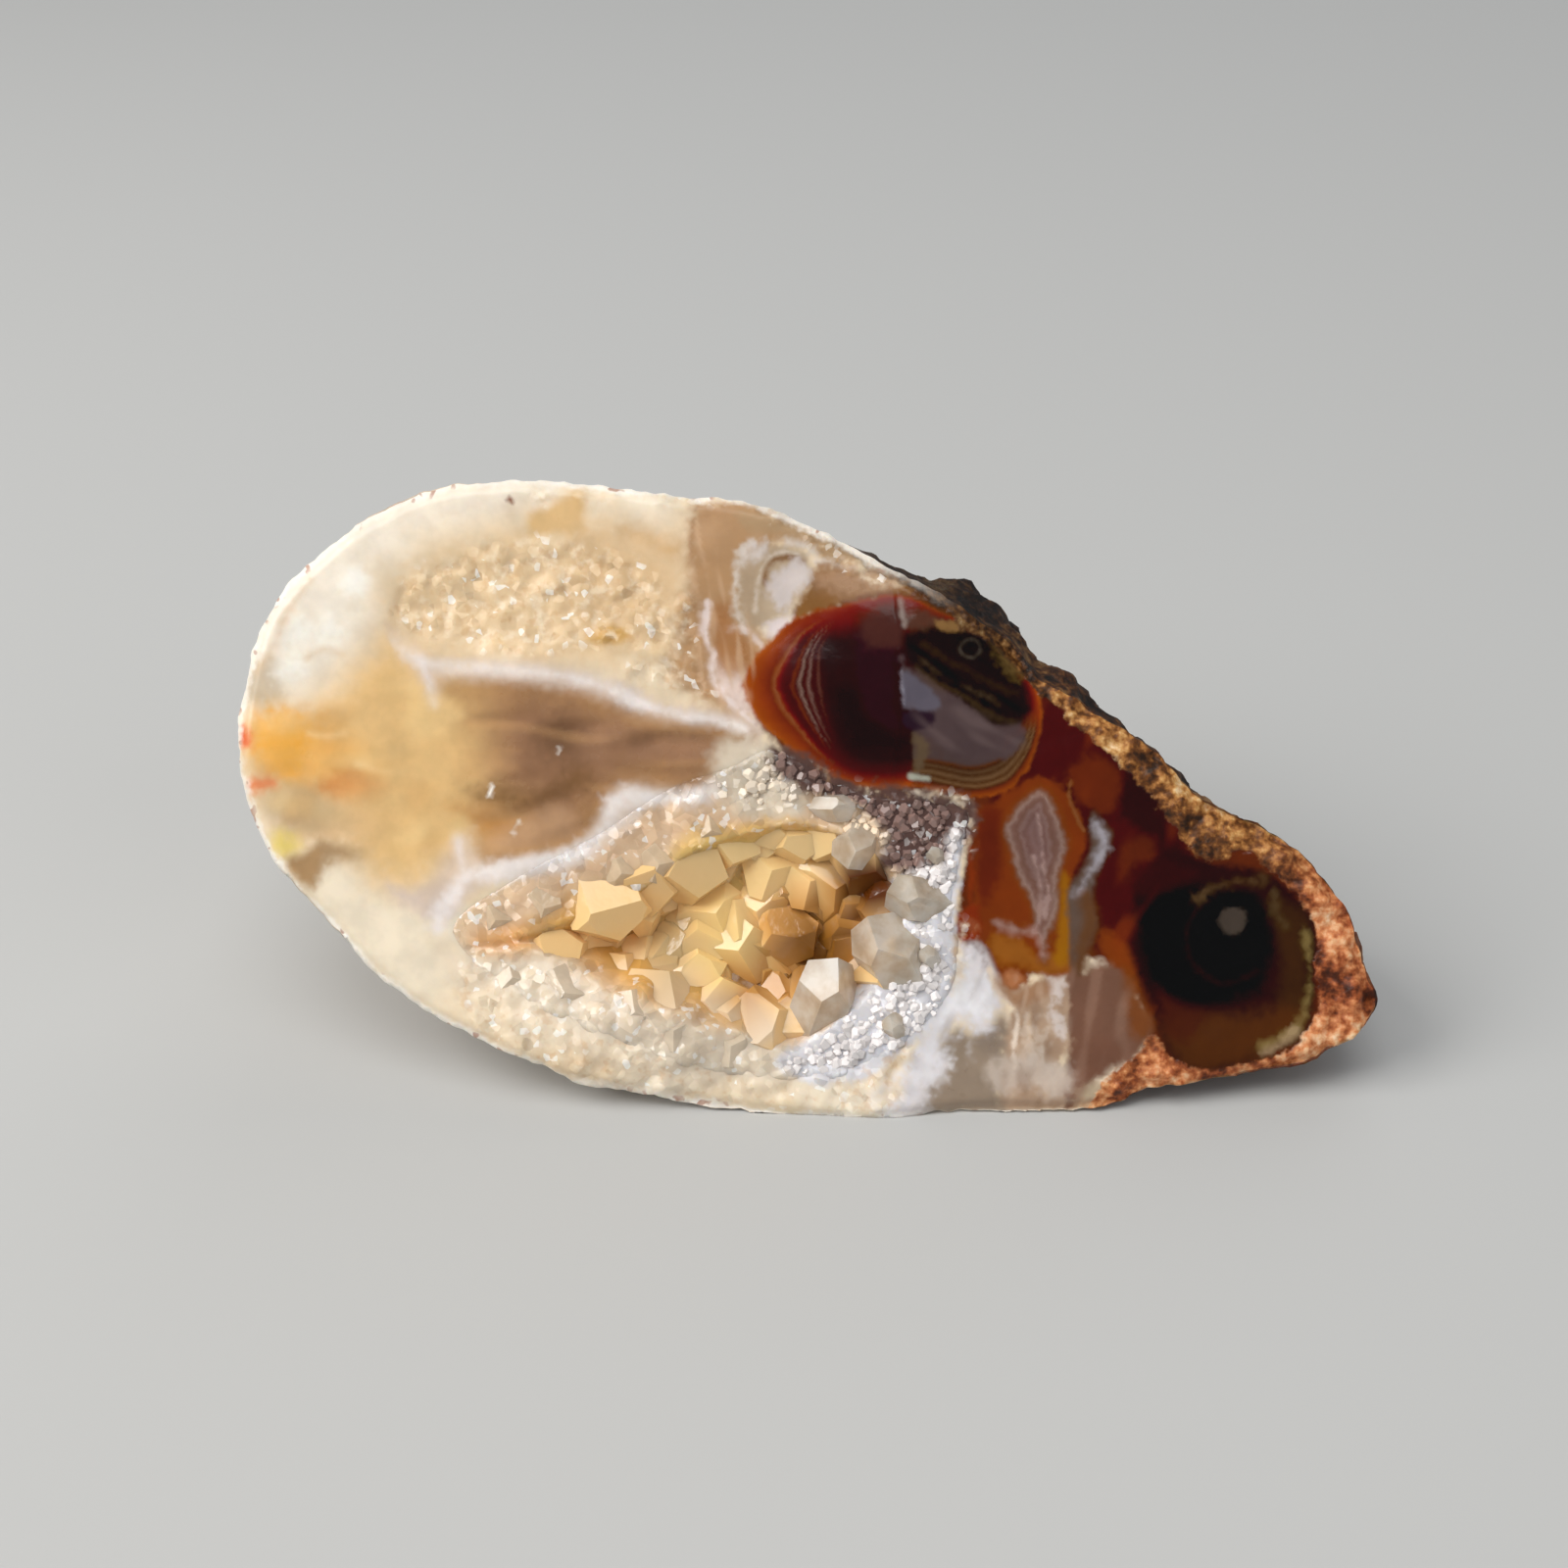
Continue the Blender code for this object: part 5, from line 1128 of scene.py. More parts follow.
def lay_colours(stain):
    """Lay every colour of the broken face and of its crust, from the left lobe to the right-hand rind."""
    stain.lay_all(LOBE_LAYERS + CORE_LAYERS)
    # Painted highlights: short white strokes stand for light glinting on chips in the core.
    for x, y, size in CORE_GLINTS:
        glint = [(x - 0.4 * size, y - size), (x, y), (x + 0.2 * size, y + size)]
        stain.line(GLINT_WHITE, glint, 0.5 * size, 0.05, 0.1)
    stain.lay_all(POCKET_LAYERS + COLUMN_LAYERS + DARK_LAYERS + FOOT_LAYERS)
    lay_foot(stain)
    lay_big_eye(stain)
    lay_second_eye(stain)
    stain.lay_all(THIRD_EYE_LAYERS + STREAK_LAYERS + CRUST_LAYERS)


# Colours of the rind's grains, from dark to pale; the palest stops are partly pale grains and partly painted
# highlights on them.
DARK_RIND_AND_GLINTS = [
    (0.3, (22, 13, 8)), (0.42, (58, 33, 16)), (0.5, (114, 68, 30)), (0.56, (172, 116, 60)),
    (0.62, (210, 160, 98)), (0.68, (236, 202, 154)), (0.78, (250, 232, 206)),
]
RUSTY_RIND_AND_GLINTS = [
    (0.3, (36, 16, 10)), (0.42, (92, 42, 20)), (0.5, (162, 86, 46)), (0.58, (212, 138, 88)),
    (0.66, (238, 190, 146)), (0.76, (252, 228, 204)),
]
PALE_SKIN = [
    (0.25, (196, 172, 148)), (0.45, (224, 204, 180)), (0.6, (240, 228, 212)), (0.75, (214, 178, 150)),
]
# Painted shade: the rind seen on the outside of the nodule is darkened by this colour, as if it faced away
# from the light.
SKIN_SHADE = (0.3, 0.26, 0.22, 1.0)


def rind_colour(tree, point):
    """Return the colour of the rind on the right: dark on its upper side, rusty at the far end."""
    big = cloud(tree, point, 2.4, 5.0)
    fine = cloud(tree, point, 0.4, 3.0)
    value = sums(tree, "MULTIPLY_ADD", fine, 0.45, sums(tree, "MULTIPLY", big, 0.6))
    dark = colours_along(tree, value, DARK_RIND_AND_GLINTS)
    rusty = colours_along(tree, value, RUSTY_RIND_AND_GLINTS)
    place = add(tree, "ShaderNodeSeparateXYZ", {"Vector": point}).outputs
    shade = ramp(tree, sums(tree, "MULTIPLY_ADD", fine, 6.0, place["X"]), 10.0, 16.0, 0.3, 1.0)
    dark = blend(tree, 1.0, dark, shade, "MULTIPLY")
    along = sums(tree, "MULTIPLY_ADD", big, 4.0, sums(tree, "SUBTRACT", place["X"], place["Y"]))
    return blend(tree, ramp(tree, along, 9.0, 16.0), dark, rusty)


def skin_colour(tree, point, matrix):
    """Return the colour of the pale skin of the left lobe, running into the rind on the right, darkened
    there by painted shade.
    """
    pale = colours_along(tree, cloud(tree, point, 5.0, 4.0), PALE_SKIN)
    freckles = ramp(tree, cloud(tree, point, 0.9, 3.0), 0.64, 0.74, 0.0, 0.6)
    pale = blend(tree, freckles, pale, tint(164, 112, 80))
    dirt = ramp(tree, cloud(tree, point, 3.1, 5.0), 0.56, 0.72, 0.0, 0.6)
    pale = blend(tree, dirt, pale, tint(138, 112, 88))
    shaded_rind = blend(tree, 1.0, rind_colour(tree, point), SKIN_SHADE, "MULTIPLY")
    return blend(tree, matrix, pale, shaded_rind)


low_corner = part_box("agate_nodule")[0]
face_place = low_corner + FACE_FOOT * MM
face_to_row = (Matrix.Translation(face_place) @ Matrix.Rotation(0.5 * math.pi - FACE_LEAN, 4, "X")
               @ Matrix.Scale(MM, 4))

rim = smooth_line(RIM, 1.0)
crust_bed = smooth_line(CRUST_BED, 0.6)
hollow = smooth_line(HOLLOW, 0.6)
opening = smooth_line(OPENING, 0.25)
matrix_place = smooth_line(MATRIX_PLACE, 0.6)
pocket = smooth_line(POCKET, 1.0)
dark_eye = smooth_line(DARK_EYE, 1.0)
sugary = [smooth_line(place, 0.8) for place in SUGARY_PLACES]

edge_points = smooth_line(RIM, RIM_SPACING)
chips = bumps(edge_points, RIM_CHIP, 40.0) + bumps(edge_points, RIM_NIBBLE, 44.0)
edge_points = edge_points + inwards(edge_points) * chips[:, None]
open_points = scattered(edge_points, FACE_SPACING)
thin_bands = smooth_line(THIN_BANDS, 0.8)
open_points = open_points[distance_inside(open_points, thin_bands) < -0.5 * FACE_SPACING]
open_points = np.vstack([open_points, scattered(thin_bands, FINE_SPACING)])
open_points = open_points[distance_inside(open_points, crust_bed) < FACE_OVERLAP]
bed_points = scattered(crust_bed, BED_SPACING)
bed_points = bed_points[distance_inside(bed_points, crust_bed) > BED_FROM]
flat, faces = triangulate(edge_points, np.vstack([open_points, bed_points]))
rings = [np.hstack([flat, stone_surface(flat)[:, None]])]
face_count = len(faces)

count, total = len(edge_points), len(flat)
previous = np.arange(count)
amounts = [np.zeros(total)]
for step in range(1, SKIN_RINGS + 1):
    angle = LAST_RING_ANGLE * step / SKIN_RINGS
    rings.append(skin_ring(edge_points, angle))
    amounts.append(ease(np.full(count, angle), 0.0, KNOBS_FROM * (3.0 - 2.0 * matrix_share(edge_points))))
    current = np.arange(total, total + count)
    total += count
    following = np.roll(previous, -1)
    faces += np.stack([previous, following, np.roll(current, -1)], axis=1).tolist()
    faces += np.stack([previous, np.roll(current, -1), current], axis=1).tolist()
    previous = current

last_ring = rings[-1]
cap, cap_faces = triangulate(last_ring[:, :2], scattered(last_ring[:, :2], BACK_SPACING))
inner = cap[count:]
held_by = last_ring[::4]
pull = (np.linalg.norm(inner[:, None] - held_by[None, :, :2], axis=2) + 0.05) ** -2.5
back_height = pull @ held_by[:, 2] / pull.sum(1)
crown = 1.0 + BACK_CROWN * ease(distance_inside(inner, last_ring[:, :2]), 0.0, 5.0)
rings.append(np.hstack([inner, (back_height * crown)[:, None]]))
amounts.append(np.ones(len(inner)))
lookup = np.concatenate([previous, np.arange(total, total + len(inner))])
faces += lookup[np.array(cap_faces)[:, ::-1]].tolist()

body = np.vstack(rings)
body_normals = surface_normals(body, faces)
body = resting(body + body_normals * skin_bumps(body, np.concatenate(amounts))[:, None])

face_material, face_shader = new_material("agate_face")
skin_material, skin_shader = new_material("agate_skin")
nodule = new_piece("agate_stone", body, faces, [face_material, skin_material])
slots = np.ones(len(faces), np.int32)
slots[:face_count] = 0
nodule.data.polygons.foreach_set("material_index", slots)
keep(nodule.data, "matrix", matrix_share(body))
keep(nodule.data, "sugar", sugar_share(flat))
keep(nodule.data, "from_rim", distance_inside(flat, rim))

stain = Stain(flat, (234, 214, 184))
stain.cloud((222, 196, 160), 4.0, 60.0, -0.1, 0.6, 0.6)
stain.cloud((244, 232, 212), 3.0, 64.0, 0.0, 0.6, 0.7)

lay_colours(stain)

keep(nodule.data, "in_matrix", distance_inside(flat, smooth_line(MATRIX_PLACE, 0.3)))
stain.keep(nodule.data)

tree = face_material.node_tree
point = face_point(tree)
face_x = add(tree, "ShaderNodeSeparateXYZ", {"Vector": point}).outputs["X"]
colour = stained(tree)
wander = sums(tree, "MULTIPLY_ADD", cloud(tree, point, 0.35, 3.0), 1.2, -0.6)
wander = sums(tree, "ADD", wander, sums(tree, "MULTIPLY_ADD", cloud(tree, point, 1.6, 2.0), 2.4, -1.2))
matrix_here = ramp(tree, sums(tree, "MULTIPLY_ADD", wander, 0.45, held(tree, "in_matrix")), -0.12, 0.12)
from_rim = sums(tree, "MULTIPLY_ADD", wander, 0.35, held(tree, "from_rim"))
upper_edge = sums(tree, "MULTIPLY", ramp(tree, from_rim, 0.6, 0.2), held(tree, "matrix"))
coarse = sums(tree, "MAXIMUM", matrix_here, upper_edge)
colour = blend(tree, coarse, colour, rind_colour(tree, point))
# Painted glow: a thin near-white band along the rim of the left part stands for light shining through the
# thin edge; the freckles lie in that band.
rim_glow = sums(tree, "MULTIPLY", ramp(tree, from_rim, 0.4, 0.0, 0.0, 0.85), ramp(tree, face_x, 7.0, 2.0))
colour = blend(tree, rim_glow, colour, tint(250, 242, 230))
freckled = ramp(tree, cloud(tree, point, 0.6, 1.0), 0.64, 0.7)
freckled = sums(tree, "MULTIPLY", freckled, sums(tree, "MULTIPLY", rim_glow, 0.8))
colour = blend(tree, freckled, colour, tint(160, 92, 62))

sugar = held(tree, "sugar")
# Painted glints: a few small cells of the sugary places are made near white, standing for light caught on
# crystal faces.
sparkle = colour_parts(tree, cells(tree, point, 0.3))[1]
lights = sums(tree, "MULTIPLY", ramp(tree, sparkle, 0.92, 0.97, 0.0, 0.7), sugar)
colour = blend(tree, lights, colour, tint(255, 252, 245))
pale = sums(tree, "MULTIPLY", ramp(tree, cloud(tree, point, 0.7, 3.0), 0.5, 0.7, 0.0, 0.5), sugar)
colour = blend(tree, pale, colour, tint(246, 230, 204))
deep = sums(tree, "MULTIPLY", ramp(tree, cloud(tree, point, 0.5, 2.0), 0.46, 0.3, 0.0, 0.35), sugar)
colour = blend(tree, deep, colour, tint(206, 162, 112))
shade = ramp(tree, cloud(tree, point, 1.1, 5.0), 0.3, 0.7, 0.93, 1.05)
base = blend(tree, 1.0, colour, shade, "MULTIPLY")
tree.links.new(base, face_shader.inputs["Base Color"])

lightness = add(tree, "ShaderNodeRGBToBW", {0: colour}).outputs[0]
gloss = ramp(tree, lightness, 0.02, 0.3, 0.05, 0.22)
roughness = sums(tree, "MULTIPLY_ADD", cloud(tree, point, 0.9, 3.0), 0.2, gloss)
roughness = sums(tree, "MULTIPLY_ADD", coarse, 0.3, roughness)
tree.links.new(roughness, face_shader.inputs["Roughness"])
grain = sums(tree, "MULTIPLY_ADD", coarse, 1.4, 0.12)
swell = sums(tree, "MULTIPLY", cloud(tree, point, 1.4, 2.0), 0.3)
height = sums(tree, "MULTIPLY_ADD", cloud(tree, point, 0.3, 4.0), grain, swell)
normal = glinting_normal(tree, point, sugar, 0.4, 1.0, bumped(tree, height, 0.55, 0.12), 0.6)
tree.links.new(normal, face_shader.inputs["Normal"])
scattering(face_shader, weight=0.28, depth=1.1, radius=(1.0, 0.7, 0.45))
face_shader.inputs["Specular IOR Level"].default_value = 0.22
face_shader.inputs["Coat Weight"].default_value = 0.05
face_shader.inputs["Coat Roughness"].default_value = 0.08

tree = skin_material.node_tree
point = face_point(tree)
edge = sums(tree, "SUBTRACT", held(tree, "matrix"), 0.7)
edge = sums(tree, "MULTIPLY_ADD", cloud(tree, point, 1.8, 5.0), 1.4, edge)
matrix = ramp(tree, edge, 0.35, 0.6)
tree.links.new(skin_colour(tree, point, matrix), skin_shader.inputs["Base Color"])
skin_shader.inputs["Roughness"].default_value = 0.72
lumps = sums(tree, "MULTIPLY", cloud(tree, point, 1.5, 3.0), 1.5)
height = sums(tree, "ADD", cloud(tree, point, 0.4, 5.0), lumps)
tree.links.new(bumped(tree, height, 0.8, 0.25), skin_shader.inputs["Normal"])
skin_shader.inputs["Subsurface Weight"].default_value = 0.1
skin_shader.inputs["Subsurface Scale"].default_value = 0.8 * MM

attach(nodule, "root")
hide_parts("agate_nodule")


# The crust of quartz. A skin of grown-together crystals that lines the hollow and the druse beside it:
# peach on the upper rim, golden inside, purple-grey on the right and sugary white at the foot. It grew
# on the stone's bed, so it is fixed by nothing else.
CRUST_SPACING = 0.17                # between mesh points on its upper side
UNDER_SPACING = 0.6                 # between those on its under side
CRUST_PROUD = 0.03                  # how far it stands out of the face round the hollow
CRUST_MARGIN = 0.7                  # how far its edge runs on under the stone's surface
CRUST_DIP = 0.75                    # how deep that edge lies
CRUST_THICKNESS = 1.1
WALL_WIDTH = 2.2                    # of its hollow, from the edge to the floor
CRUST_HOLLOW_DEPTH = 2.7
WALL_BLOCKS = (2.4, 0.6)
DRUSE_LUMP = (1.8, 0.3)
DRUSE_POINTS = (0.9, 0.12)


def crust_swells(points):
    """Return the height of the crust's upper side without its crystals."""
    inside = distance_inside(points, crust_bed)
    height = broken_face(points) + CRUST_PROUD
    height = height - hollow_depth(points, opening, WALL_WIDTH, CRUST_HOLLOW_DEPTH)
    return height - CRUST_DIP * (1.0 - ease(inside, -CRUST_MARGIN, 0.15))


def crust_top(points):
    """Return the height of the crust's upper side."""
    in_hollow = ease(distance_inside(points, opening), -0.2, 1.2)
    in_druse = (1.0 - in_hollow) * ease(distance_inside(points, crust_bed), 0.0, 0.9)
    height = crust_swells(points) + crystal_points(points, in_hollow, WALL_BLOCKS, 21)
    height += in_druse * DRUSE_LUMP[1] * (grains(points, DRUSE_LUMP[0], 33.0) - GRAIN_LEVEL)
    return height + crystal_points(points, in_druse, DRUSE_POINTS, 23)


crust_edge = smooth_line(CRUST_BED, 0.3)
crust_edge = crust_edge - CRUST_MARGIN * inwards(crust_edge)
crust_flat, crust_faces = triangulate(crust_edge, scattered(crust_edge, CRUST_SPACING))
top = np.hstack([crust_flat, crust_top(crust_flat)[:, None]])
under_flat, under_faces = triangulate(crust_edge, scattered(crust_edge, UNDER_SPACING))
below = face_swells(under_flat) - CRUST_DIP
below = below - CRUST_THICKNESS * ease(distance_inside(under_flat, crust_bed), 0.0, 1.0)
below -= hollow_depth(under_flat, hollow, HOLLOW_WALL, HOLLOW_DEPTH)
crust_points = np.vstack([top, np.hstack([under_flat, below[:, None]])])
all_faces = crust_faces + [[i + len(top) for i in face[::-1]] for face in under_faces]
for i in range(len(crust_edge)):
    j = (i + 1) % len(crust_edge)
    all_faces.append([i, j, len(top) + j, len(top) + i])
crust_material, crust_shader = new_material("milky_quartz")
crust = new_piece("quartz_druse", crust_points, all_faces, [crust_material])
keep(crust.data, "in_hollow", distance_inside(crust_flat, opening))

stain = Stain(crust_flat, (226, 194, 160))
stain.cloud((214, 178, 144), 1.2, 60.0, -0.1, 0.6, 0.6)
lay_colours(stain)
stain.keep(crust.data)

tree = crust_material.node_tree
point = face_point(tree)
facet = colour_parts(tree, cells(tree, point, 0.8))[0]
# Painted glints: a few small cells outside the hollow are made near white, standing for light caught on
# crystal faces.
lights = colour_parts(tree, cells(tree, point, 0.26))[1]
outside = ramp(tree, held(tree, "in_hollow"), 0.9, 0.1)
lights = sums(tree, "MULTIPLY", ramp(tree, lights, 0.9, 0.96, 0.0, 0.6), outside)
colour = blend(tree, lights, stained(tree), tint(255, 252, 248))
tone = ramp(tree, facet, 0.0, 1.0, 0.86, 1.06)
tree.links.new(blend(tree, 1.0, colour, tone, "MULTIPLY"), crust_shader.inputs["Base Color"])
bump = bumped(tree, cloud(tree, point, 0.4, 3.0), 0.3, 0.08)
tree.links.new(glinting_normal(tree, point, outside, 0.4, 1.1, bump, 0.5), crust_shader.inputs["Normal"])
crust_shader.inputs["Roughness"].default_value = 0.22
scattering(crust_shader, weight=0.4, depth=1.2, radius=(1.0, 0.75, 0.5))
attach(crust, "root")
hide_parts("quartz_crust")


# The crystals on the crust. Quartz points with their bases sunk in it: golden blocks that fill the
# hollow, small glassy ones in the druse round it, and large clear ones that lean over the hollow's
# right-hand edge.
TIP_ANGLE = math.radians(51.8)      # between the normals of a tip's face and of the crystal's base
BLUNT_TIP_ANGLE = math.radians(33.0)  # same, of the crystals that crowd one another in the hollow
SHAPES = [                          # name, height of the tip, how far every other face stands back, skew
    ("blunt", 0.45, 0.35, 0.12),
    ("even", 0.6, 0.2, 0.15),
    ("tall", 0.75, 0.5, 0.15),
    ("flat", 0.35, 0.5, 0.2),
]
SIDE_REACH = 0.87                   # of a crystal's sides, where its radius is 1
SUNK = 1.5                          # how far a crystal of radius 1 reaches into the crust


def crystal_shape(name, tip, stand_back, skew, seed, sunk, tip_angle):
    """Return a mesh of one six-sided quartz point of radius 1, cut by flat faces."""
    rng = np.random.default_rng(seed)
    planes = [((0.0, 0.0, -1.0), sunk)]
    slope, rise = math.sin(tip_angle), math.cos(tip_angle)
    for k in range(6):
        across, along = math.cos(k * math.pi / 3.0), math.sin(k * math.pi / 3.0)
        planes.append(((across, along, 0.0), SIDE_REACH * (1.0 + rng.uniform(-skew, skew))))
        top = tip + (stand_back if k % 2 else 0.0) + rng.uniform(-skew, skew)
        planes.append(((slope * across, slope * along, rise), top * rise))
    normals = np.array([plane[0] for plane in planes])
    reaches = np.array([plane[1] for plane in planes])
    corners = []
    for i in range(len(planes)):
        for j in range(i):
            for k in range(j):
                trio = [i, j, k]
                if abs(np.linalg.det(normals[trio])) > 1e-6:
                    corner = np.linalg.solve(normals[trio], reaches[trio])
                    if (normals @ corner < reaches + 1e-6).all():
                        corners.append(corner)
    form = bmesh.new()
    for corner in corners:
        form.verts.new(corner)
    bmesh.ops.remove_doubles(form, verts=form.verts, dist=1e-4)
    bmesh.ops.convex_hull(form, input=form.verts)
    bmesh.ops.dissolve_limit(form, angle_limit=0.01, verts=form.verts, edges=form.edges)
    bmesh.ops.recalc_face_normals(form, faces=form.faces)
    mesh = bpy.data.meshes.new(name)
    form.to_mesh(mesh)
    form.free()
    return mesh


def random_value(tree, kind, low, high, seed):
    """Return a value for each instance, drawn between two from its own seed."""
    first, result = {"FLOAT_VECTOR": (0, 0), "FLOAT": (2, 1), "INT": (4, 2)}[kind]
    inputs = {first: low, first + 1: high, "Seed": seed}
    return add(tree, "FunctionNodeRandomValue", inputs, data_type=kind).outputs[result]


def growing_tree(name, shapes):
    """Return a node tree that grows crystals of the given shapes all over a mesh."""
    tree = bpy.data.node_groups.new(name, "GeometryNodeTree")
    for label, kind in (("Geometry", "Geometry"), ("Spacing", "Float"), ("Smallest", "Float"),
                        ("Largest", "Float"), ("Lean", "Float"), ("Seed", "Int"), ("Material", "Material")):
        tree.interface.new_socket(label, in_out="INPUT", socket_type="NodeSocket" + kind)
    tree.interface.new_socket("Geometry", in_out="OUTPUT", socket_type="NodeSocketGeometry")
    given = add(tree, "NodeGroupInput").outputs
    share = add(tree, "GeometryNodeInputNamedAttribute", {"Name": "grows"}, data_type="FLOAT").outputs[0]
    density = sums(tree, "DIVIDE", 3.0, sums(tree, "MULTIPLY", given["Spacing"], given["Spacing"]))
    points = add(tree, "GeometryNodeDistributePointsOnFaces", {
        "Mesh": given["Geometry"], "Distance Min": given["Spacing"], "Density Max": density,
        "Density Factor": share, "Seed": given["Seed"]}, distribute_method="POISSON").outputs
    joined = add(tree, "GeometryNodeJoinGeometry")
    for shape in shapes:
        one = add(tree, "GeometryNodeObjectInfo", {"Object": shape, "As Instance": True}).outputs["Geometry"]
        tree.links.new(one, joined.inputs[0])
    which = random_value(tree, "INT", 0, len(shapes) - 1, 1)
    size = random_value(tree, "FLOAT", given["Smallest"], given["Largest"], 2)
    minus = sums(tree, "MULTIPLY", given["Lean"], -1.0)
    low = add(tree, "ShaderNodeCombineXYZ", {0: minus, 1: minus, 2: 0.0}).outputs[0]
    high = add(tree, "ShaderNodeCombineXYZ", {0: given["Lean"], 1: given["Lean"], 2: 2.0 * math.pi})
    lean = random_value(tree, "FLOAT_VECTOR", low, high.outputs[0], 3)
    turned = add(tree, "FunctionNodeRotateRotation", {0: points["Rotation"], 1: lean},
                 rotation_space="LOCAL")
    placed = add(tree, "GeometryNodeInstanceOnPoints", {
        "Points": points["Points"], "Instance": joined.outputs[0], "Pick Instance": True,
        "Instance Index": which, "Rotation": turned.outputs[0], "Scale": size}).outputs[0]
    tone = random_value(tree, "FLOAT", 0.0, 1.0, 4)
    toned = add(tree, "GeometryNodeStoreNamedAttribute", {"Geometry": placed, "Name": "tone", "Value": tone},
                data_type="FLOAT", domain="INSTANCE").outputs[0]
    real = add(tree, "GeometryNodeRealizeInstances", {0: toned}).outputs[0]
    done = add(tree, "GeometryNodeSetMaterial", {"Geometry": real, "Material": given["Material"]}).outputs[0]
    add(tree, "NodeGroupOutput", {0: done})
    return tree


def grown(name, tree, grows, settings, material):
    """Return one mesh of the crystals that the tree grows on the crust's swells."""
    points = np.hstack([bed_flat, crust_swells(bed_flat)[:, None]])
    bed = new_piece(name + "_bed", points, bed_faces, [])
    keep(bed.data, "grows", grows)
    modifier = bed.modifiers.new("crystals", "NODES")
    modifier.node_group = tree
    for socket in tree.interface.items_tree:
        if socket.in_out == "INPUT" and socket.name in settings:
            modifier[socket.identifier] = settings[socket.name]
        elif socket.in_out == "INPUT" and socket.name == "Material":
            modifier[socket.identifier] = material
    bed.update_tag()
    evaluated = bed.evaluated_get(bpy.context.evaluated_depsgraph_get())
    mesh = bpy.data.meshes.new_from_object(evaluated)
    mesh.name = name
    bed_mesh = bed.data
    bpy.data.objects.remove(bed)
    bpy.data.meshes.remove(bed_mesh)
    return new_object(name, mesh)


def face_places(mesh):
    """Return a mesh's points in face millimetres."""
    found = np.zeros(3 * len(mesh.vertices))
    mesh.vertices.foreach_get("co", found)
    back = np.array(face_to_row.inverted())
    return found.reshape(-1, 3) @ back[:3, :3].T + back[:3, 3]


def toned(material, shader, low, high):
    """Colour the crystals by their stain, each with a tone of its own between two."""
    tree = material.node_tree
    tone = ramp(tree, held(tree, "tone"), 0.0, 1.0, low, high)
    tree.links.new(blend(tree, 1.0, stained(tree), tone, "MULTIPLY"), shader.inputs["Base Color"])


def glassy(shader, roughness, transmission, weight, depth):
    """Give the shader the gloss of quartz, how clear it is and how light scatters in it."""
    shader.inputs["Roughness"].default_value = roughness
    shader.inputs["Transmission Weight"].default_value = transmission
    scattering(shader, weight, depth)


bed_flat, bed_faces = triangulate(crust_bed, scattered(crust_bed, BED_SPACING))
prototypes = []
for i, (name, tip, stand_back, skew) in enumerate(SHAPES):
    shape = crystal_shape(name, tip, stand_back, skew, 60 + i, SUNK, BLUNT_TIP_ANGLE)
    prototypes.append(new_object(name, shape))
tree = growing_tree("grow_crystals", prototypes)
in_hollow = distance_inside(bed_flat, opening)

golden_material, golden_shader = new_material("golden_quartz")
golden = grown("golden_crystals", tree, ease(in_hollow, 0.45, 0.8), {
    "Spacing": 0.95 * MM, "Smallest": 1.1 * MM, "Largest": 2.0 * MM, "Lean": 0.25, "Seed": 3,
}, golden_material)
# Colours of the golden crystals: their own gold and brown, with the palest patches painted as bright as a
# colour can be, a painted glow of light shining through the stone into the hollow.
GOLD_AND_GLOW_PATCHES = [
    ((255, 212, 150), 0.4, [(-15.6, 8.6), (-13, 10.4), (-6.4, 14.4), (-2.4, 15.3), (1.8, 13.6), (4.4, 10.4),
     (3.6, 6.8), (1.4, 4.4), (-0.8, 2.6), (-4.4, 2.8), (-8.6, 4.4), (-12.6, 6.3)]),
    ((255, 218, 156), 0.4, [(-6, 12.8), (-3, 14.2), (0.4, 13.6), (1, 11.4), (-1.4, 10.9), (-3, 9.4),
     (-5.8, 10)]),
    ((255, 218, 148), 0.3, [(-5.8, 10), (-3, 9.6), (-2.6, 7.6), (-3.4, 6.2), (-5.4, 6.6)]),
    ((255, 212, 148), 0.5, [(-13, 8.6), (-7, 10.6), (-5.4, 9.6), (-7.6, 7.2), (-11.4, 7.2)]),
    ((206, 152, 86), 0.25, [(-2.2, 9.9), (-0.6, 10.6), (2.6, 10.8), (3.8, 9.6), (2.4, 7.4), (0.6, 6),
     (-1.2, 5.2), (-3.6, 5.4), (-4, 6.2), (-2.2, 7.4), (-2.4, 8.8)]),
    ((142, 96, 44), 0.25, [(-1.6, 8.4), (0.6, 8.8), (2.6, 9.4), (2.4, 7.6), (1, 6.2), (-0.6, 6.8)]),
    ((104, 58, 30), 0.3, [(1, 11.4), (2.8, 11.8), (4.2, 10.8), (4, 9.2), (2.6, 9.4), (1.6, 10.2)]),
    ((214, 186, 138), 0.25, [(-7.6, 8), (-6.6, 9.3), (-5.8, 8.9), (-5.7, 7), (-6.2, 6.4), (-7.4, 6.8)]),
    ((238, 210, 174), 0.3, [(-9.6, 6.6), (-6.4, 6.4), (-3, 5), (-1, 4.2), (-3.2, 3), (-8, 4.4)]),
]
places = face_places(golden.data)
stain = Stain(places[:, :2], (236, 210, 170))
for rgb, edge, outline in GOLD_AND_GLOW_PATCHES:
    stain.patch(rgb, outline, edge)
stain.keep(golden.data)
toned(golden_material, golden_shader, 0.92, 1.08)
tree_gold = golden_material.node_tree
bump = bumped(tree_gold, cloud(tree_gold, face_point(tree_gold), 0.5, 2.0), 0.25, 0.1)
tree_gold.links.new(bump, golden_shader.inputs["Normal"])
glassy(golden_shader, roughness=0.12, transmission=0.06, weight=0.2, depth=0.3)
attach(golden, "root")
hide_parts("quartz_crust")

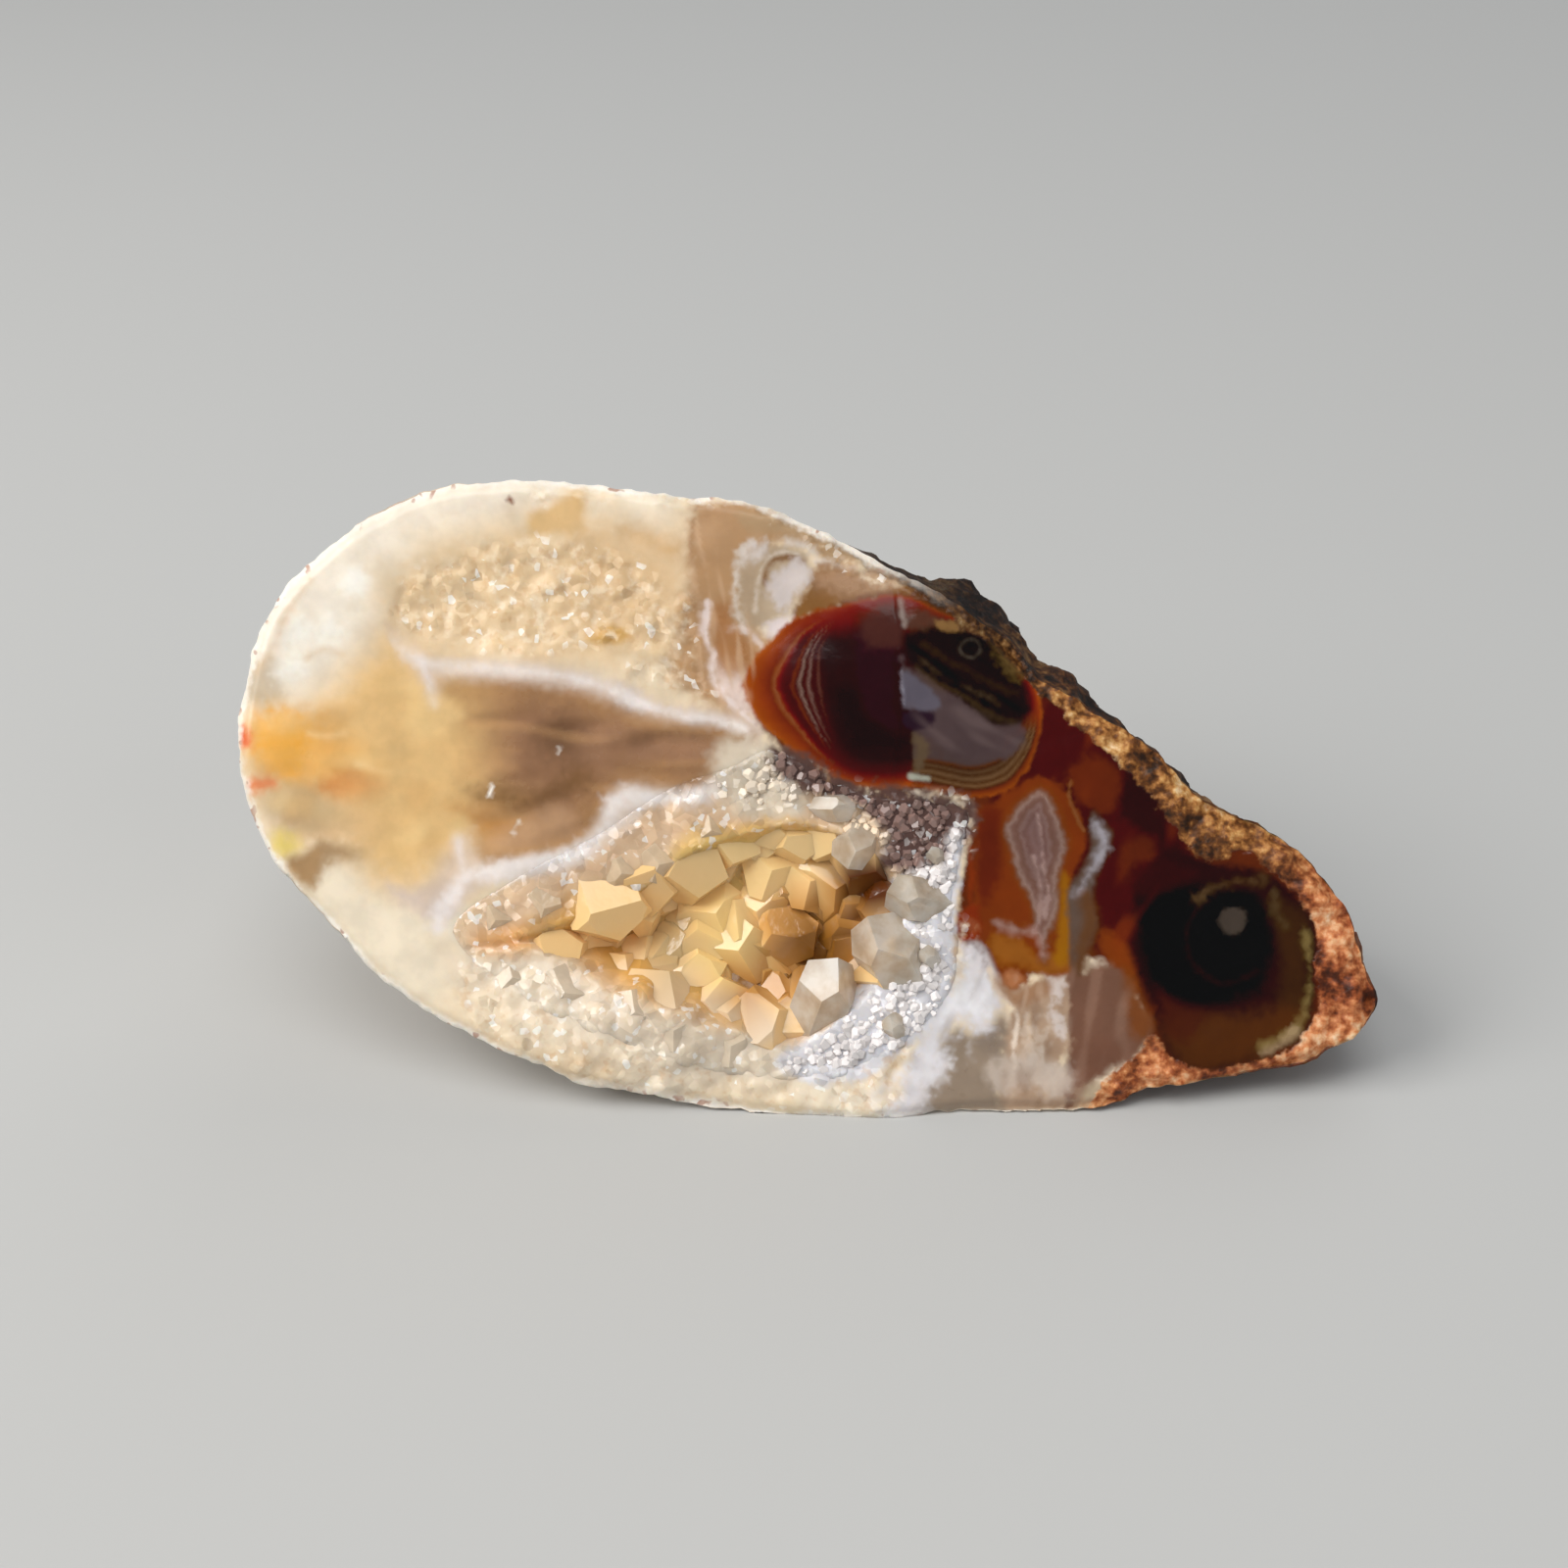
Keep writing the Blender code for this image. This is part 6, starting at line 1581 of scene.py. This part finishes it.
DRUSE_PLACES = [
    (0.5, [(-5.2, 15.3), (-3.8, 15.8), (-1.8, 16.6), (-1.2, 15), (-3, 14.4)]),
    (1.0, [(-2.2, 16.8), (0.7, 15.6), (3.2, 14.8), (5.6, 14.6), (7, 14), (6.8, 12), (6.3, 9.6), (6.6, 7.2),
     (5.6, 4.8), (3.4, 3.1), (0.8, 2), (-1.6, 2.4), (1.4, 4.6), (3.6, 7), (4.2, 10.2), (1.8, 13.4),
     (-1.6, 15)]),
]
grows = np.zeros(len(bed_flat))
for share, outline in DRUSE_PLACES:
    grows = np.maximum(grows, share * ease(distance_inside(bed_flat, smooth_line(outline, 0.5)), -0.1, 0.3))
druse_material, druse_shader = new_material("glassy_quartz")
druse = grown("druse_crystals", tree, grows * ease(-in_hollow, -0.3, 0.1), {
    "Spacing": 0.27 * MM, "Smallest": 0.12 * MM, "Largest": 0.32 * MM, "Lean": 0.8, "Seed": 8,
}, druse_material)
places = face_places(druse.data)
stain = Stain(places[:, :2], (232, 204, 172))
lay_colours(stain)
stain.colour = np.minimum(1.1 * stain.colour ** 0.7 * (1.0, 0.97, 0.94), 0.95)
stain.keep(druse.data)
toned(druse_material, druse_shader, 0.8, 1.3)
glassy(druse_shader, roughness=0.08, transmission=0.06, weight=0.2, depth=0.2)
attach(druse, "root")
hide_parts("quartz_crust")

# foot and tip on the face and above its height there, radius, how far every other face of the tip stands
# back, spin
LIP_CRYSTALS = [
    ((-13.6, 6.2, -2.2), (-13.4, 6.6, 0.3), 1.7, 0.5, 0.2),
    ((-11.3, 5.6, -2.2), (-11.0, 5.9, 0.4), 1.4, 0.4, 0.7),
    ((-8.3, 4.8, -2.2), (-8.2, 5.0, 0.4), 1.1, 0.5, 0.1),
    ((-6.2, 3.9, -2.2), (-6.2, 4.1, 0.3), 1.0, 0.3, 0.5),
    ((-3.8, 3.2, -2.2), (-3.7, 3.4, 0.2), 1.0, 0.5, 0.9),
    ((-14.4, 9.4, -2.2), (-14.2, 9.1, 0.3), 0.9, 0.4, 0.4),
    ((-12.4, 9.9, -2.2), (-12.2, 9.5, 0.4), 1.1, 0.5, 0.8),
    ((-8.9, 11.6, -2.2), (-8.7, 11.3, 0.35), 0.8, 0.3, 0.3),
    ((-7.2, 11.9, -2.2), (-7.0, 11.6, 0.4), 1.0, 0.5, 0.6),
    ((-4.8, 13.6, -2.2), (-4.6, 13.3, 0.3), 0.8, 0.4, 0.1),
]
CLEAR_CRYSTALS = [
    ((5.4, 4.4, -3.0), (2.5, 9.5, 0.5), 1.7, 0.9, 0.3),
    ((-0.6, 2.4, -3.0), (1.1, 7.4, 0.2), 1.5, 1.2, 0.9),
    ((7.0, 9.6, -2.0), (3.2, 10.4, 0.7), 1.2, 0.9, 0.2),
    ((2.9, 14.8, -2.0), (1.5, 11.4, 0.3), 1.0, 0.6, 0.5),
    ((-1.2, 14.3, -1.4), (1.9, 14.2, 0.6), 0.7, 0.5, 0.2),
    ((4.4, 3.0, -1.4), (3.4, 4.9, 0.6), 0.55, 0.3, 0.7),
    ((6.2, 6.5, -1.2), (4.9, 7.9, 0.6), 0.45, 0.3, 0.4),
    ((6.4, 11.8, -1.0), (5.2, 12.2, 0.5), 0.45, 0.3, 0.1),
]


def placed_crystals(name, table, material, seed, tip_angle):
    """Return one object of the crystals in the table, each from its foot to its tip."""
    corners, sides = [], []
    for i, (foot, tip, radius, stand_back, spin) in enumerate(table):
        raised = Vector((0.0, 0.0, face_swells(np.array([tip[:2]]))[0]))
        axis = Vector(tip) - Vector(foot)
        shape = crystal_shape("one", axis.length / radius, stand_back, 0.12, seed + i, 0.0, tip_angle)
        aim = axis.to_track_quat("Z", "Y").to_matrix().to_4x4()
        place = (Matrix.Translation(Vector(foot) + raised) @ aim @ Matrix.Rotation(spin, 4, "Z")
                 @ Matrix.Scale(radius, 4))
        first = len(corners)
        corners += [tuple(place @ v.co) for v in shape.vertices]
        sides += [[first + k for k in polygon.vertices] for polygon in shape.polygons]
        bpy.data.meshes.remove(shape)
    piece = new_piece(name, np.array(corners), sides, [material])
    piece.data.shade_flat()
    return piece


lip_material, lip_shader = new_material("milky_blocks")
lip = placed_crystals("lip_crystals", LIP_CRYSTALS, lip_material, 70, BLUNT_TIP_ANGLE)
places = face_places(lip.data)
stain = Stain(places[:, :2], (236, 218, 192))
lay_colours(stain)
LIP_CREAM = (240, 222, 196)
UPPER_RIM_PEACH = (232, 200, 160)
UPPER_RIM_FROM = 8.6                # y above which the blocks stand on the upper rim
lip_colour = 0.5 * stain.colour + 0.5 * linear(LIP_CREAM)
peach_colour = 0.5 * lip_colour + 0.5 * linear(UPPER_RIM_PEACH)
stain.colour = np.where(places[:, 1:2] > UPPER_RIM_FROM, peach_colour, lip_colour)
stain.keep(lip.data)
tree_lip = lip_material.node_tree
point = face_point(tree_lip)
veil = ramp(tree_lip, cloud(tree_lip, point, 0.8, 3.0), 0.35, 0.65, 0.9, 1.05)
colour = blend(tree_lip, 1.0, stained(tree_lip), veil, "MULTIPLY")
tree_lip.links.new(colour, lip_shader.inputs["Base Color"])
bump = bumped(tree_lip, cloud(tree_lip, point, 0.4, 3.0), 0.3, 0.1)
tree_lip.links.new(bump, lip_shader.inputs["Normal"])
glassy(lip_shader, roughness=0.14, transmission=0.2, weight=0.3, depth=0.5)
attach(lip, "root")
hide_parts("quartz_crust")

clear_material, clear_shader = new_material("clear_quartz")
CLEAR_VEIL = [(0.35, (216, 196, 170)), (0.5, (238, 224, 204)), (0.62, (252, 244, 232))]
tree_clear = clear_material.node_tree
veil = cloud(tree_clear, face_point(tree_clear), 1.3, 4.0)
tree_clear.links.new(colours_along(tree_clear, veil, CLEAR_VEIL), clear_shader.inputs["Base Color"])
glassy(clear_shader, roughness=0.04, transmission=0.5, weight=0.3, depth=0.6)
large = placed_crystals("clear_crystals", CLEAR_CRYSTALS, clear_material, 90, TIP_ANGLE)
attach(large, "root")
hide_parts("quartz_crust")

for prototype in prototypes:
    mesh = prototype.data
    bpy.data.objects.remove(prototype)
    bpy.data.meshes.remove(mesh)
bpy.data.node_groups.remove(tree)


# The camera looks squarely at the broken face. The stone lies on a plain floor in soft light, most of it
# from the left and above.
VIEW_CENTRE = (-1.3, 15.3, 0.0)     # of the picture, on the face
VIEW_DISTANCE = 98.8
LENS = 50.0
SENSOR = 36.0
NEAREST = 0.005                     # metres from the camera at which the view starts
FLOOR_REACH = 1.0                   # metres from the middle of the floor to its sides
SKY = (0.75, 0.78, 0.82, 1.0)
SKY_STRENGTH = 0.26

camera_data = bpy.data.cameras.new("camera")
camera_data.lens = LENS
camera_data.sensor_width = SENSOR
camera_data.clip_start = NEAREST
camera = new_object("camera", camera_data)
camera.matrix_world = (Matrix.Translation(face_to_row @ Vector(VIEW_CENTRE))
                       @ Matrix.Rotation(0.5 * math.pi - FACE_LEAN, 4, "X")
                       @ Matrix.Translation((0.0, 0.0, VIEW_DISTANCE * MM)))
bpy.context.scene.camera = camera

floor_mesh = bpy.data.meshes.new("floor")
corners = [(x * FLOOR_REACH, y * FLOOR_REACH, 0) for x, y in ((-1, -1), (1, -1), (1, 1), (-1, 1))]
floor_mesh.from_pydata(corners, [], [(0, 1, 2, 3)])
floor = new_object("floor", floor_mesh)
floor_material, floor_shader = new_material("floor")
floor_shader.inputs["Base Color"].default_value = tint(190, 190, 188)
floor_shader.inputs["Roughness"].default_value = 0.9
floor_mesh.materials.append(floor_material)

LIGHTS = [                          # name, place, size, power, colour
    ("key", (-0.34, -0.12, 0.32), 0.30, 1.75, (1.0, 0.98, 0.95)),
    ("top", (-0.04, -0.14, 0.52), 0.34, 1.0, (1.0, 1.0, 1.0)),
    ("side", (0.36, -0.24, 0.22), 0.40, 0.4, (1.0, 1.0, 1.0)),
    ("back", (0.15, 0.40, 0.35), 0.35, 0.5, (0.95, 0.97, 1.0)),
]
for name, position, size, power, colour in LIGHTS:
    light = bpy.data.lights.new(name, "AREA")
    light.shape = "SQUARE"
    light.size = size
    light.energy = power
    light.color = colour
    lamp = new_object(name, light)
    lamp.location = position
    lamp.visible_glossy = name in ("key", "top")
    lamp.rotation_euler = (Vector((0.0, 0.0, 0.01)) - Vector(position)).to_track_quat("-Z", "Y").to_euler()

world = bpy.data.worlds.new("world")
world.use_nodes = True
world.node_tree.nodes["Background"].inputs["Color"].default_value = SKY
world.node_tree.nodes["Background"].inputs["Strength"].default_value = SKY_STRENGTH
bpy.context.scene.world = world
bpy.context.scene.view_settings.view_transform = "Standard"
